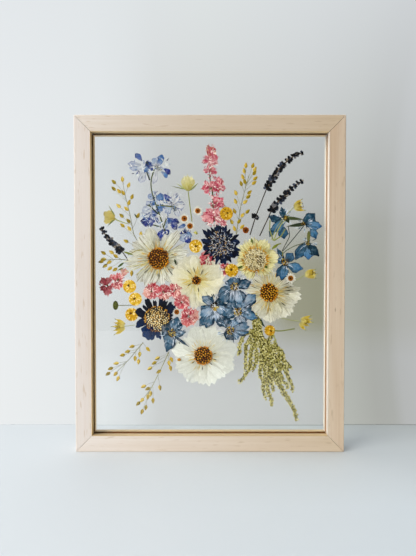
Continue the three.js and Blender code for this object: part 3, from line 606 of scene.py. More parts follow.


# Each head's rim-and-vein value sets the painted shadow along its petal rims and the darkness of its
# veins; its shades set the painted shade of petals lying under others.
COSMOS = {
    "white_cosmos_left": dict(
        centre=(-59.8, 222.1), disc=12.4, layer=3, seed=11, edge_shade_and_veins=0.8, ripe=0.46,
        slot="white_petal", streaks=(40, 9, 0.8, 0.3),
        petals=[
            [108, 38, 16], [97, 29, 8], [73, 31, 6], [53, 41, 12], [28, 38, 5],
            [13, 37, 12], [-5, 33, 11], [-54, 35, 14], [-27, 35, 11], [-81, 31, 14],
            [-113, 36, 19], [-132, 37, 12], [-162, 38, 7], [-171, 39, 8], [-179, 38, 6],
            [166, 35, 10], [148, 36, 13], [129, 35, 14]],
        shades=[
            0.4, 0.7, 0.2, 0, 0.5, 0, 0.1, 0.1, 0.2, 0, 0, 0.2, 0.2, 0.4, 0.1, 0.4, 0.2, 0.1],
        stops=[(0.0, "8c8448"), (0.3, "bcb892"), (0.6, "d6d6c8"), (1.0, "dededa")]),
    "ivory_cosmos_middle": dict(
        centre=(-16, 196.9), disc=5.3, layer=4, seed=12, edge_shade_and_veins=0.16, ripe=0.4,
        slot="ivory_petal", streaks=(34, 13, 0.8, 0.5),
        petals=[
            [118, 31, 27], [92, 30, 16], [75, 30, 16], [36, 33, 27], [10, 33, 24],
            [-12, 33, 24], [-51, 31, 23], [-75, 34, 16], [-95, 34, 17], [-120, 27, 17],
            [178, 31, 27], [205, 29, 19], [150, 30, 22]],
        shades=[0.2, 0, 0.3, 0.1, 0, 0.2, 0.1, 0.4, 0, 0.3, 0, 0.2, 0.1],
        stops=[(0.0, "a88838"), (0.2, "d8cc8c"), (0.45, "dfd9b6"), (1.0, "e4e0ce")]),
    "white_cosmos_bottom": dict(
        centre=(-7.9, 109.2), disc=10.7, layer=3, seed=13, edge_shade_and_veins=0.16, ripe=0.5,
        slot="white_petal", streaks=(40, 8, 0.7, 0.55),
        petals=[
            [108, 36, 21], [86, 35, 15], [71, 38, 22], [47, 39, 19], [14, 41, 24],
            [-6, 37, 16], [-23, 40, 20], [-43, 36, 20], [-75, 37, 25], [-97, 34, 16],
            [-120, 36, 23], [-153, 36, 22], [-172, 33, 16], [164, 38, 23], [138, 31, 16]],
        shades=[0.1, 0.2, 0.1, 0.2, 0, 0.2, 0.1, 0, 0.1, 0.2, 0, 0.1, 0.2, 0, 0.1],
        stops=[(0.0, "a8a068"), (0.22, "d4d3c0"), (0.5, "dddfd7"), (1.0, "e2e5df")]),
    "cream_cosmos_right": dict(
        centre=(68.4, 182.8), disc=10.5, layer=3, seed=14, edge_shade_and_veins=0.5, ripe=0.62,
        slot="ivory_petal", streaks=(60, 12, 0.6, 0.4),
        petals=[
            [-9, 39, 19], [-27, 35, 14], [-46, 38, 22], [-68, 34, 14], [-86, 36, 20],
            [-108, 32, 13], [-129, 30, 16], [-153, 26, 12], [172, 28, 14], [135, 26, 13],
            [108, 27, 11], [85, 27, 14], [62, 29, 9], [48, 29, 10], [33, 29, 12], [6, 38, 7],
            [16, 30, 10]],
        shades=[0, 0.3, 0, 0.5, 0, 0.3, 0.1, 0.2, 0.1, 0.1, 0.2, 0, 0.3, 0.1, 0.2, 0.5, 0.2],
        stops=[(0.0, "a8842c"), (0.25, "cfc086"), (0.55, "d6d2b6"), (1.0, "dfddd0")]),
}
ripe_seeds = seed_finish("ripe_seeds", [
    (0.0, "100602"), (0.3, "281004"), (0.5, "784002"), (0.72, "bc7408"), (1.0, "e4a828")])


SEEDS_PER_MM2 = 0.4
FRINGE_PER_MM2 = 0.55
SEED_SIZE = (0.98, 0.4, 0.98)


def strokes(centre, inner, outer, count, length, width, seed, lean=None, spread=0.5):
    """Rows of short strokes scattered between two radii, leaning out or to one angle."""
    rng = np.random.default_rng(seed)
    turn = rng.uniform(0, 2 * np.pi, count)
    r = np.sqrt(rng.uniform(inner ** 2, outer ** 2, count))
    angle = (turn if lean is None else math.radians(lean)) + rng.normal(0, spread, count)
    middle = np.stack([centre[0] + r * np.cos(turn), centre[1] + r * np.sin(turn)], 1)
    half = np.stack([np.cos(angle), np.sin(angle)], 1) * (
        length * rng.uniform(0.6, 1.2, count) / 2)[:, None]
    return np.column_stack([middle - half, middle + half, width * rng.uniform(0.7, 1.2, count)])


for name, head in COSMOS.items():
    rows = fan(head["centre"], head["petals"])
    sheet = petals(rows, head["layer"], head["seed"], steps=(26, 17), start=0.12, foot=0.3,
                   swell=0.72, blunt=0.66, bow=0.1, teeth=2.5, tooth=0.07, bend=0.08,
                   wander=0.04, pleats=3, pleat=0.05, ruffle=0.06, spread=0.3, tilt=0.12,
                   shades=head["shades"])
    # Painted shade: petals with a higher shade value take the greyer other ramp, as petals lying
    # under others, and the dark rim and dark veins paint the shadow along the petal edges and in the
    # folds, over the real veins.
    finish = petal_finish(name + "_tissue", head["stops"], other=[
        (0.0, "7c6c2c"), (0.4, "a39c74"), (1.0, "b4b2a0")], rim="786f50",
        rim_share=head["edge_shade_and_veins"], rim_from=0.84, vein="706840", vein_share=head["edge_shade_and_veins"],
        veins=5.5, blotch="f4f4ee", blotch_share=0.35, blotch_size=4)
    add_piece(name + "_petals", sheet, finish, name)
    centre, disc, seed = head["centre"], head["disc"], head["seed"]
    floor_depth = layer_back(head["layer"]) - 0.2
    crown = FRONT - 0.1
    # The bed is near black: its own dark colour, and painted shade in the gaps between the seeds.
    bed = pad(centre, floor_depth, disc * 0.97, floor_depth - crown - 0.5, 1)
    spots = sunflower(centre, disc * 0.95, int(disc ** 2 * SEEDS_PER_MM2), floor_depth - 0.15,
                      crown + 0.25)
    fringe = strokes(centre, disc * 0.93, disc * 1.02, int(disc ** 2 * FRINGE_PER_MM2), 2.6, 1.2,
                     seed + 1, spread=0.35)
    add_piece(name + "_seeds", join(
        toned(bed, 0, 0.1), toned(beads(spots, SEED_SIZE, seed), head["ripe"], 0.45),
        toned(drops(fringe, floor_depth - 0.5, 0.7, seed + 2), 0.48, 0.4)),
              ripe_seeds, name)

streak_finish = seed_finish("foot_streaks", [
    (0.0, "7c5a14"), (0.35, "b8841c"), (0.7, "ccb04c"), (1.0, "dcd49c")])
for k, (name, head) in enumerate(COSMOS.items()):
    count, reach, width, pale = head["streaks"]
    rows = strokes(head["centre"], head["disc"], head["disc"] + reach, count, reach * 0.8, width,
                   200 + k, spread=0.08)
    streaks = toned(drops(rows, layer_back(head["layer"]) - 0.42, 0.14, 201), pale, 1 - pale)
    add_piece(name + "_streaks", streaks, streak_finish, name)

STAMEN_WIDTH = 1.0
STAMENS = [
    ("cream_cosmos_right", [[80, 189, 93, 195], [81, 186, 95, 190], [81, 184, 97, 186],
                            [80, 181, 92, 181], [78, 192, 88, 201], [60, 192, 51, 198],
                            [58, 186, 48, 190], [79, 174, 88, 167]]),
    ("ivory_cosmos_middle", [[-19, 201, -27, 209], [-16, 202, -19, 212], [-12, 200, -8, 209],
                             [-20, 195, -26, 190], [-14, 192, -13, 183]]),
    ("white_cosmos_bottom", [[-2, 103, 3, 98], [2, 106, 8, 104], [1, 110, 7, 112],
                             [-8, 99, -9, 92], [-16, 104, -21, 100]]),
    ("white_cosmos_left", [[-51, 213, -43, 203], [-50, 212, -46, 208], [-48, 225, -42, 227],
                           [-69, 212, -76, 205], [-60, 209, -60, 200]]),
]
stamen_finish = seed_finish("dark_stamens", [(0.0, "16120c"), (0.7, "3c3018"), (1.0, "6c5424")])
for k, (name, lines) in enumerate(STAMENS):
    rows = np.column_stack([lines, np.full(len(lines), STAMEN_WIDTH)])
    stamens = drops(rows, FRONT + 0.2, 0.3, 210 + k, peak=0.75)
    add_piece(name + "_stamens", stamens, stamen_finish, name)

# Scabiosas
# Three pincushion heads: ruffled petals, cream on one head and navy on two, around a
# cushion of papery cups and bristles. They are dried whole and pressed flat.

CREAM_CENTRE = (52.8, 220.8)
CREAM_RUFFLES = [
    [97, 27, 12], [60, 27, 15], [36, 23, 8], [8, 28.5, 15], [-20, 26, 9], [-42, 26, 12],
    [-66, 22, 10], [250, 25, 12], [226, 24, 9], [205, 26, 10], [182, 23, 8], [162, 24, 8],
    [141, 26, 12], [119, 26.5, 10]]
CREAM_SHADES = [0, 0.1, 0.6, 0, 0.4, 0.1, 0.5, 0.1, 0.3, 0, 0.5, 0.2, 0.1, 0.3]
# The dark rim of these petals is painted shadow along their edges.
cream_tissue = petal_finish(
    "cream_scabiosa_tissue", [(0.0, "b8942e"), (0.4, "d8ca78"), (0.7, "e8e0a2"), (1.0, "f0ecc6")],
    other=[(0.0, "7c6a20"), (0.5, "aca054"), (1.0, "c8c084")], rim="8c8440", rim_share=0.75,
    rim_from=0.85, vein="988a3c", vein_share=0.75, veins=5, blotch="f2efcc",
    blotch_share=0.5)
sheet = petals(fan(CREAM_CENTRE, CREAM_RUFFLES), 4, 21, steps=(22, 17), start=0.25, foot=0.5,
               swell=0.75, blunt=0.72, bow=0.1, teeth=3, tooth=0.16, bend=0.05, wander=0.08,
               pleats=4, pleat=0.06, ruffle=0.12, spread=0.2, tilt=0.08, shades=CREAM_SHADES)
add_piece("cream_scabiosa_petals", sheet, cream_tissue, "cream_scabiosa")
cups = beads(sunflower(CREAM_CENTRE, 12.4, 120, FRONT + 0.5, FRONT + 0.22),
             (1.05, 0.3, 1.05), 22)
bed = pad(CREAM_CENTRE, layer_back(4) - 0.3, 13.6, 0.6, 2)
cream_cups = seed_finish("cream_cups", [
    (0.0, "6c5424"), (0.3, "b4a270"), (0.6, "d2c69a"), (1.0, "e8e2c4")])
add_piece("cream_scabiosa_cushion", join(toned(bed, 0.3, 0), toned(cups, 0.35, 0.65)),
          cream_cups, "cream_scabiosa")
bristles = drops(strokes(CREAM_CENTRE, 0, 12, 60, 2.8, 0.8, 23, lean=-48, spread=0.6),
                 FRONT - 0.08, 0.24, 24)
bristles = join(bristles, drops(strokes(
    (CREAM_CENTRE[0] + 5, CREAM_CENTRE[1] - 1), 0, 6, 20, 3.2, 1.1, 25, lean=-40,
    spread=0.3), FRONT - 0.1, 0.24, 26))
dark_bristle = seed_finish("dark_bristle", [(0.0, "2c2018"), (0.6, "5c4a2c"), (1.0, "846c40")])
add_piece("cream_scabiosa_bristles", bristles, dark_bristle, "cream_scabiosa")
rim = join(drops(strokes(CREAM_CENTRE, 12.6, 15.4, 96, 2.6, 1.1, 27, spread=0.5),
                 layer_back(7) - 0.02, 0.4, 28),
           drops(strokes(CREAM_CENTRE, 14.5, 17.5, 30, 4.6, 0.6, 29, spread=0.12),
                 layer_back(6), 0.3, 30))
orange_rim = seed_finish("orange_rim", [(0.0, "7c4a10"), (0.4, "c0821c"), (1.0, "e4b448")])
add_piece("cream_scabiosa_rim", rim, orange_rim, "cream_scabiosa")

NAVY_HEADS = {
    "navy_scabiosa_top": dict(
        centre=(12.9, 237.7), layer=5, seed=31, broad=0.92, blunt=0.6, petals=[
            [105, 26, 6.5], [95, 25, 5], [81, 22.5, 7.5], [63, 19, 6.5], [43, 19.5, 6.5],
            [27, 18, 5], [11, 23.5, 7.5], [-6, 19.5, 8.5], [-28, 26.5, 6.5], [-41, 23.5, 7.5],
            [-63, 22.5, 7.5], [-82, 25, 8], [-98, 19.5, 6.5], [-115, 17.5, 6.5],
            [-132, 16, 6], [210, 18, 6], [191, 22.5, 10], [167, 25, 7.5], [142, 29.5, 5],
            [132, 26.5, 4.5], [124, 21.5, 6.5]],
        shades=[0.1, 0.2, 0.1, 0, 0.1, 0.3, 0.2, 0, 0.1, 0, 0.1, 0.2, 0, 0.1, 0.4, 0.2, 0.1,
                0, 0.2, 0.1, 0]),
    "navy_scabiosa_left": dict(
        centre=(-60.9, 151.9), layer=7, seed=32, broad=1.08, blunt=0.84, petals=[
            [119, 29, 6.4], [99, 24.5, 4.2], [79, 27, 5.0], [64, 27, 5.0], [46, 28, 6.4],
            [33, 27, 7.5], [15, 20, 3.2], [3, 19, 2.7], [-9, 19, 3.7], [-24, 20, 4.2],
            [-50, 23, 6.5], [-85, 25.5, 5.5], [-98, 20, 3.2], [-122, 29, 11], [-111, 28, 7.5],
            [197, 28, 7.5], [221, 25, 8.5], [186, 23, 5], [158, 28.5, 9], [137, 25, 3.7]],
        shades=[0, 0, 0.1, 0, 0.1, 0.2, 0, 0, 0, 0.1, 0.3, 0.6, 0.5, 0.9, 0.7, 0.5, 0.8, 0.2,
                0.1, 0]),
}
for name, head in NAVY_HEADS.items():
    rows = fan(head["centre"], head["petals"]) * (1, 1, 1, 1, head["broad"])
    sheet = petals(rows, head["layer"], head["seed"], steps=(18, 9), start=0.3, foot=0.5,
                   swell=0.88, blunt=head["blunt"], bow=0.14, teeth=1, tooth=0.12, bend=0.14,
                   wander=0.08, pleats=1.6, pleat=0.04, ruffle=0.02, spread=0.1, tilt=0.04,
                   shades=head["shades"])
    finish = petal_finish(name + "_tissue", [(0.0, "030408"), (0.6, "060810"), (1.0, "0a0e20")],
                          other=[(0.0, "040c28"), (0.5, "082254"), (1.0, "103c74")],
                          rim="060a1c", rim_share=0.5, vein="14203c", vein_share=0.4,
                          veins=2.5, blotch="04050a", blotch_share=0.5)
    add_piece(name + "_petals", sheet, finish, name)

NAVY_TOP = NAVY_HEADS["navy_scabiosa_top"]["centre"]
NARROW_PETALS = 24
narrow = [[i * 360 / NARROW_PETALS, 19 + 2.4 * ((i * 7) % 3), 4.2] for i in range(NARROW_PETALS)]
sheet = petals(fan(NAVY_TOP, narrow), 6, 40, steps=(14, 7), start=0.4, foot=0.7, swell=0.85,
               blunt=0.8, bow=0.2, bend=0.2, wander=0.12, pleats=1.2, pleat=0.03, ruffle=0.02,
               spread=0.1, tilt=0.04, shades=np.tile([0, 0.3], NARROW_PETALS // 2))
add_piece("navy_scabiosa_top_narrow_petals", sheet,
          bpy.data.materials["navy_scabiosa_top_tissue"], "navy_scabiosa_top")
top_bed = pad(NAVY_TOP, layer_back(5) - 0.25, 11, 0.4, 3, sides=24, rings=6)
tufts = drops(np.concatenate([
    strokes(NAVY_TOP, 0, 12.5, 300, 2.6, 0.95, 33, spread=0.9),
    strokes(NAVY_TOP, 11, 16.5, 90, 3.6, 0.8, 34, spread=0.4)]), FRONT + 0.02, 0.3, 34)
tuft_finish = seed_finish("navy_tufts", [
    (0.0, "06080f"), (0.28, "0e1428"), (0.42, "3c4c70"), (0.62, "8e98ac"), (0.8, "d8dad6"),
    (0.93, "c0963c"), (1.0, "8a5a20")])
add_piece("navy_scabiosa_top_tufts", join(top_bed, tufts), tuft_finish, "navy_scabiosa_top")

NAVY_LEFT = NAVY_HEADS["navy_scabiosa_left"]["centre"]
left_bed = pad(NAVY_LEFT, layer_back(4) - 0.3, 14.9, 0.6, 4)
cups = beads(sunflower(NAVY_LEFT, 13.2, 105, layer_back(7), FRONT + 0.05),
             (1.05, 0.15, 1.05), 35)
specks = drops(np.concatenate([
    strokes(NAVY_LEFT, 1, 13, 64, 2.0, 1.4, 36, spread=1.2),
    strokes((NAVY_LEFT[0] + 6, NAVY_LEFT[1] + 1), 0, 7, 28, 2.0, 1.5, 37, spread=1.2)]),
    FRONT - 0.18, 0.14, 37)
cup_finish = seed_finish("papery_cups", [
    (0.0, "20140c"), (0.25, "7a4a1c"), (0.42, "c08428"), (0.6, "e8c678"), (1.0, "fff0c0")])
add_piece("navy_scabiosa_left_cups", join(
    toned(left_bed, 0, 0.1), toned(cups, 0.5, 0.6), toned(specks, -0.2, 0.25)),
          cup_finish, "navy_scabiosa_left")
ring = drops(strokes(NAVY_LEFT, 13.2, 15.2, 95, 1.9, 1.1, 38, spread=0.6),
             FRONT + 0.16, 0.4, 39)
add_piece("navy_scabiosa_left_rim", ring, orange_rim, "navy_scabiosa_left")

# Delphinium and larkspur
# Two whole flower spikes, one pale blue and lilac, one pink. The limp petals were laid
# out by hand and dried flat on a thin green stem.


def follow(line, count):
    """A line of points resampled at even steps and eased by averaging neighbours."""
    line = np.asarray(line, float)
    reach = np.concatenate([[0], np.cumsum(np.linalg.norm(np.diff(line, axis=0), axis=1))])
    even = np.linspace(0, reach[-1], count)
    path = np.column_stack([np.interp(even, reach, line[:, k]) for k in (0, 1)])
    for _ in range(3):
        path[1:-1] = (path[:-2] + 2 * path[1:-1] + path[2:]) / 4
    return path


def tubes(lines, start, end, depth, thick, seed, count=14, sides=6):
    """Closed flattened stalks: an ellipse swept along each line, tapered start to end."""
    rng = np.random.default_rng(seed)
    paths = np.stack([follow(line, count) for line in lines])
    step = np.gradient(paths, axis=1)
    step /= np.linalg.norm(step, axis=-1, keepdims=True)
    across = np.stack([-step[..., 1], step[..., 0]], -1)[:, :, None, :]
    taper = np.linspace(start, end, count)[None, :, None]
    turn = (2 * np.pi * np.arange(sides) / sides)[None, None, :]
    flat = paths[:, :, None, :] + across * (taper * np.cos(turn) / 2)[..., None]
    out = depth - thick / 2 * np.sin(turn) * taper / max(start, end)
    ring = np.stack([flat[..., 0], np.broadcast_to(out, flat.shape[:3]), flat[..., 1]], -1)
    ends = np.insert(paths[:, [0, -1]], 1, depth, axis=2)
    points = np.concatenate([ends[:, :1], ring.reshape(len(lines), -1, 3), ends[:, 1:]], 1)
    share = np.concatenate([[0], np.repeat(np.linspace(0, 1, count), sides), [1]])
    facts = {"tone": np.repeat(rng.uniform(0, 1, len(lines)), len(share)),
             "along": np.tile(share, len(lines))}
    return points.reshape(-1, 3), closed_rings(sides, count, len(lines)), facts


DELPHINIUM_PETALS = [
    [-59, 329, -55, 342.5, 8.5], [-53, 325.5, -45, 319, 6], [-55.5, 322, -48.5, 315, 5],
    [-61, 323.5, -66, 307.5, 7], [-66, 323.5, -74, 335, 8], [-63.5, 325.5, -57.5, 331.5, 9.5],
    [-60, 322, -54, 327, 7], [-67, 330, -61, 338.5, 6], [-78.5, 335, -86.5, 343.5, 6.5],
    [-79.5, 330, -95.5, 331.5, 7], [-78.5, 325.5, -93.5, 326, 5], [-76, 322, -81, 308.5, 7.5],
    [-78.5, 316.5, -82, 310.5, 4.5], [-77.5, 324.5, -84.5, 320, 6], [-76, 328, -71.5, 322, 8],
    [-75, 324.5, -71.5, 311.5, 7], [-64.5, 291, -72, 296, 7], [-62.5, 291, -53, 295.5, 9.5],
    [-64.5, 289.5, -68, 283, 6], [-63.5, 294.5, -67, 300, 6], [-62.5, 288.5, -57.5, 285, 6],
    [-52.5, 296.5, -46.5, 287.5, 6.5], [-42.5, 284, -37.5, 298.5, 9.5],
    [-41.5, 284, -28, 283.5, 10.5], [-42.5, 283, -35.5, 270, 7], [-44, 283, -52, 274.5, 10.5],
    [-44, 284, -49.5, 294.5, 8], [-67, 280.5, -79, 276, 9.5], [-66, 280.5, -74, 288.5, 7],
    [-67, 278, -62.5, 270, 7], [-68, 279.5, -72.5, 271, 7], [-60, 274.5, -54, 285, 9.5],
    [-54, 274.5, -48.5, 281.5, 8], [-63.5, 265.5, -81, 265, 10.5],
    [-64.5, 268, -72.5, 258.5, 8], [-64.5, 264.5, -68, 273.5, 7], [-62.5, 263, -57.5, 258.5, 7],
    [-63.5, 272.5, -60, 263, 3.5], [-54, 256, -59.5, 241.5, 9.5], [-53, 256, -47.5, 249.5, 7],
    [-51, 270, -45, 262, 7], [-47.5, 268, -35, 263, 8], [-45, 264.5, -38, 255, 7],
    [-49.5, 265.5, -52, 256, 6], [-37, 257.5, -27, 262, 4.5], [-34.5, 250.5, -26.5, 255, 5],
    [-30, 248, -22, 240, 8], [-30, 248, -20.5, 250.5, 7], [-27.5, 248, -35.5, 243.5, 8]]
DELPHINIUM_SHADES = [
    0.62, 1, 0.57, 0.05, 0.92, 0, 0.05, 0.3, 0.82, 0.15, 0.2, 0.1, 1, 0.1, 0.62, 0.05, 0.3,
    0.62, 0.72, 0.2, 0.1, 0.97, 0, 0, 0.1, 0.25, 0.05, 0.15, 0.2, 0.87, 0.1, 0.67, 0.1, 1,
    1, 0.3, 0.1, 1, 1, 0.92, 0.82, 0.97, 1, 0.3, 0.72, 1, 0.97, 0.4, 0.3]
DELPHINIUM_STEMS = [
    [[-64, 325], [-69.5, 312.5], [-67, 296.5], [-61, 280.5], [-52, 254]],
    [[-70.5, 284], [-60, 273.5]], [[-49.5, 271], [-53, 260]], [[-66, 261], [-56.5, 258.5]],
    [[-73, 322], [-69.5, 312.5]], [[-44, 282], [-62, 284]]]
DELPHINIUM_EYES = [
    [-61, 327.5], [-58, 325], [-72, 333], [-44, 283], [-41, 279.5], [-70, 284], [-64, 293],
    [-31, 252]]
DELPHINIUM_FOLDS = [
    ((-57, 329), 11, 26), ((-80, 327), 12, 30), ((-62, 291), 9, 22), ((-42, 286), 13, 30),
    ((-68, 275), 11, 30), ((-74, 264), 7, 16), ((-50, 262), 12, 36), ((-26, 250), 8, 20)]


def fold_strokes(places, length, width, seed):
    """Strokes for fold lines, scattered around each (centre, reach, count)."""
    return np.concatenate([strokes(centre, 0, reach, count, length, width, seed + k)
                           for k, (centre, reach, count) in enumerate(places)])


sheet = petals(DELPHINIUM_PETALS, 1, 41, steps=(18, 11), foot=0.22, swell=0.66, blunt=0.5,
               bow=0.22, teeth=1, tooth=0.06, bend=0.1, wander=0.08, pleats=2.2, pleat=0.04,
               ruffle=0.05, spread=0.32, tilt=0.06, shades=DELPHINIUM_SHADES)
delphinium_tissue = petal_finish(
    "delphinium_tissue", [(0.0, "c8c8c7"), (0.5, "d9d9d9"), (1.0, "c4c5d1")],
    between=[(0.0, "91a5c0"), (0.45, "5787ba"), (1.0, "3f69a2")],
    other=[(0.0, "343f80"), (0.45, "1f2d88"), (1.0, "14163c")], rim="333e7f", rim_share=0.9,
    rim_from=0.76, vein="3d5496", vein_share=0.6, veins=3, blotch="e5e6e5", blotch_share=0.35,
    blotch_size=3.0)
add_piece("delphinium_petals", sheet, delphinium_tissue, "delphinium_sprig")
stalks = tubes(DELPHINIUM_STEMS, 1.3, 1.7, layer_back(2) - 0.05, 0.5, 42)
stamens = [drops(strokes(eye, 0, 2.6, 11, 2.2, 0.7, 43 + k), layer_back(3), 0.3, 44)
           for k, eye in enumerate(DELPHINIUM_EYES)]
folds = drops(fold_strokes(DELPHINIUM_FOLDS, 4.5, 0.9, 60), layer_back(3) - 0.1, 0.24, 45)
fold_finish = seed_finish("delphinium_folds", [
    (0.0, "1c1c4c"), (0.3, "2c4488"), (0.5, "5c88b8"), (0.65, "d2d8dc"), (1.0, "f4f4ee")])
add_piece("delphinium_folds", folds, fold_finish, "delphinium_sprig")
spike_stalk = seed_finish("spike_stalk", [(0.0, "182416"), (0.6, "2c3e24"), (1.0, "686c34")])
add_piece("delphinium_stalks", join(stalks, *stamens), spike_stalk, "delphinium_sprig")

LARKSPUR_PETALS = [
    [-1, 337, -1.5, 355, 5.5], [0, 337, 5, 353.5, 7.5], [0.5, 337, 11, 339.5, 7],
    [0, 333.5, -10, 335.5, 5.5], [0, 334.5, -5.5, 341, 4.5], [0, 335.5, 7.5, 338, 7.5],
    [0, 334.5, 10.5, 330.5, 6.5], [0.5, 334.5, 2, 327.5, 7.5], [0, 325.5, -9, 322.5, 5.5],
    [0, 324.5, -4.5, 328, 4], [-1, 324, 7, 326.5, 5], [0, 323.5, 5, 318, 4.5],
    [2, 321, 9.5, 322, 4], [4, 306, -11, 302, 7], [-1.5, 306, -6, 312, 5.5],
    [-0.5, 305, -7, 296.5, 5.5], [5, 304.5, 0, 312, 7.5], [6, 303.5, 6.5, 312.5, 7.5],
    [4, 304.5, 14, 301, 8], [5, 304.5, 4, 298, 6.5], [9.5, 303, 10.5, 318, 6.5],
    [12, 302, 14, 315, 5.5], [10, 304, 19, 303, 6.5], [9, 313, 3.5, 315.5, 4],
    [5, 286, 8, 295.5, 6.5], [6, 286.5, 17, 291.5, 7], [6, 286.5, 18.5, 282, 7.5],
    [6, 288, 3, 279, 6.5], [5, 270, -12, 270, 12.5], [4.5, 272.5, -5.5, 278.5, 7.5],
    [4.5, 271.5, 1.5, 281, 6.5], [4, 270.5, 10.5, 281, 7.5], [3.5, 272, 13, 265.5, 8.5],
    [4.5, 270, -1, 262, 7.5], [7, 268.5, 21, 259.5, 6.5]]
LARKSPUR_SHADES = [
    0.7, 0.6, 0.5, 0.6, 0.4, 0.1, 0.3, 0.1, 0.35, 0.4, 0.3, 0.2, 0.6, 0.7, 0.4, 0.5, 0.2, 0.5,
    0.9, 0.4, 0.5, 0.95, 0.5, 0.4, 0.3, 0.5, 0.6, 0.8, 0.1, 0.3, 0.2, 0.3, 0.2, 0.1, 0.3]
LARKSPUR_STEM = [[0, 338], [0, 312.5], [3, 301], [3.5, 285], [5, 264.5]]
LARKSPUR_STAMENS = [[0, 323], [1.5, 303], [5, 287], [16, 283], [4.5, 271]]
LARKSPUR_FOLDS = [
    ((2, 343), 6, 26), ((0, 334), 9, 34), ((0, 323), 7, 20), ((4, 305), 12, 60),
    ((8, 287), 9, 34), ((3, 271), 12, 64), ((14, 263), 6, 14)]
sheet = petals(LARKSPUR_PETALS, 1, 45, steps=(18, 13), foot=0.22, swell=0.6, blunt=0.4,
               bow=0.2, teeth=2, tooth=0.24, bend=0.14, wander=0.14, pleats=2.6, pleat=0.05,
               ruffle=0.06, spread=0.34, tilt=0.06, shades=LARKSPUR_SHADES)
larkspur_tissue = petal_finish(
    "larkspur_tissue", [(0.0, "c86a78"), (0.4, "dc9ca0"), (1.0, "e4b4b0")],
    between=[(0.0, "a82c4c"), (0.5, "c84c68"), (1.0, "d26c7c")],
    other=[(0.0, "741c2c"), (0.5, "a01c40"), (1.0, "b04030")], rim="983038", rim_share=0.6,
    rim_from=0.75, vein="982840", vein_share=0.6, veins=3, blotch="f2dcd8", blotch_share=0.7,
    blotch_size=3.0)
add_piece("larkspur_petals", sheet, larkspur_tissue, "larkspur_spike")
stalk = tubes([LARKSPUR_STEM], 1.3, 1.7, layer_back(1) - 0.05, 0.5, 46, count=30)
bits = [drops(strokes(place, 0, 3.4, 8, 2.4, 0.7, 47 + k), layer_back(3), 0.3, 48)
        for k, place in enumerate(LARKSPUR_STAMENS)]
folds = drops(fold_strokes(LARKSPUR_FOLDS, 3.8, 1.0, 70), layer_back(3) - 0.1, 0.24, 49)
fold_finish = seed_finish("larkspur_folds", [
    (0.0, "8c1434"), (0.4, "b42048"), (0.54, "d46c80"), (0.66, "f0ccca"), (1.0, "faf0ea")])
add_piece("larkspur_folds", folds, fold_finish, "larkspur_spike")
buds = drops(strokes((2, 347), 0, 7, 26, 2.6, 1.0, 78), layer_back(3) - 0.2, 0.2, 79)
bud_tips = seed_finish("larkspur_bud_tips", [
    (0.0, "a03018"), (0.4, "c8582c"), (0.7, "e0a078"), (1.0, "f0d0b8")])
add_piece("larkspur_bud_tips", buds, bud_tips, "larkspur_spike")
larkspur_stalk = seed_finish("larkspur_stalk", [
    (0.0, "2c3018"), (0.5, "4c5428"), (0.8, "8a7c34"), (1.0, "b85c34")])
add_piece("larkspur_stalk", join(toned(stalk, 0.35, 0), *bits), larkspur_stalk,
          "larkspur_spike")

# Lavender
# Three stems with whorls of small dry calyxes, almost black with a grey-violet bloom. They
# are pressed from the side, so each whorl is a row of drops across the stem.

LAVENDERS = {
    "lavender_tall": dict(
        spike=[[105, 343.5], [99.5, 342], [95, 339], [90.5, 335.5], [86, 331.5], [81, 327],
               [77, 321], [72, 313], [65.5, 302.5]],
        lone=[52, 268.7], stem=[[65.5, 302.5], [53.4, 271.8], [46.5, 249.3]]),
    "lavender_right": dict(
        spike=[[105.5, 310.5], [101, 308.5], [96, 305], [92.5, 301.5], [87, 295],
               [80, 289.5], [75.5, 283], [70.5, 276]],
        stem=[[70.5, 276], [67.7, 269.4], [57.7, 248.1]]),
    "lavender_left": dict(
        spike=[[-124.5, 256], [-121.5, 250], [-115.7, 243.5], [-109.9, 237.7],
               [-105.9, 234.2], [-101.5, 230]],
        stem=[[-101.5, 230], [-94.6, 219.9]]),
}
CALYXES = 9
CALYX_FAN = 1.35
CALYX_TOP, CALYX_GROWTH = 3.2, 2.5
LONE_CALYX = 5.6
WHORL_STEP = 4.6
STEM_POINTS = 61
calyx_finish = seed_finish("calyx", [
    (0.0, "05060a"), (0.45, "0e1016"), (0.7, "1e2432"), (0.88, "4c5468"), (1.0, "948878")], 0.8)
lavender_stalk = seed_finish("lavender_stalk", [(0.0, "30281f"), (1.0, "6a5238")])
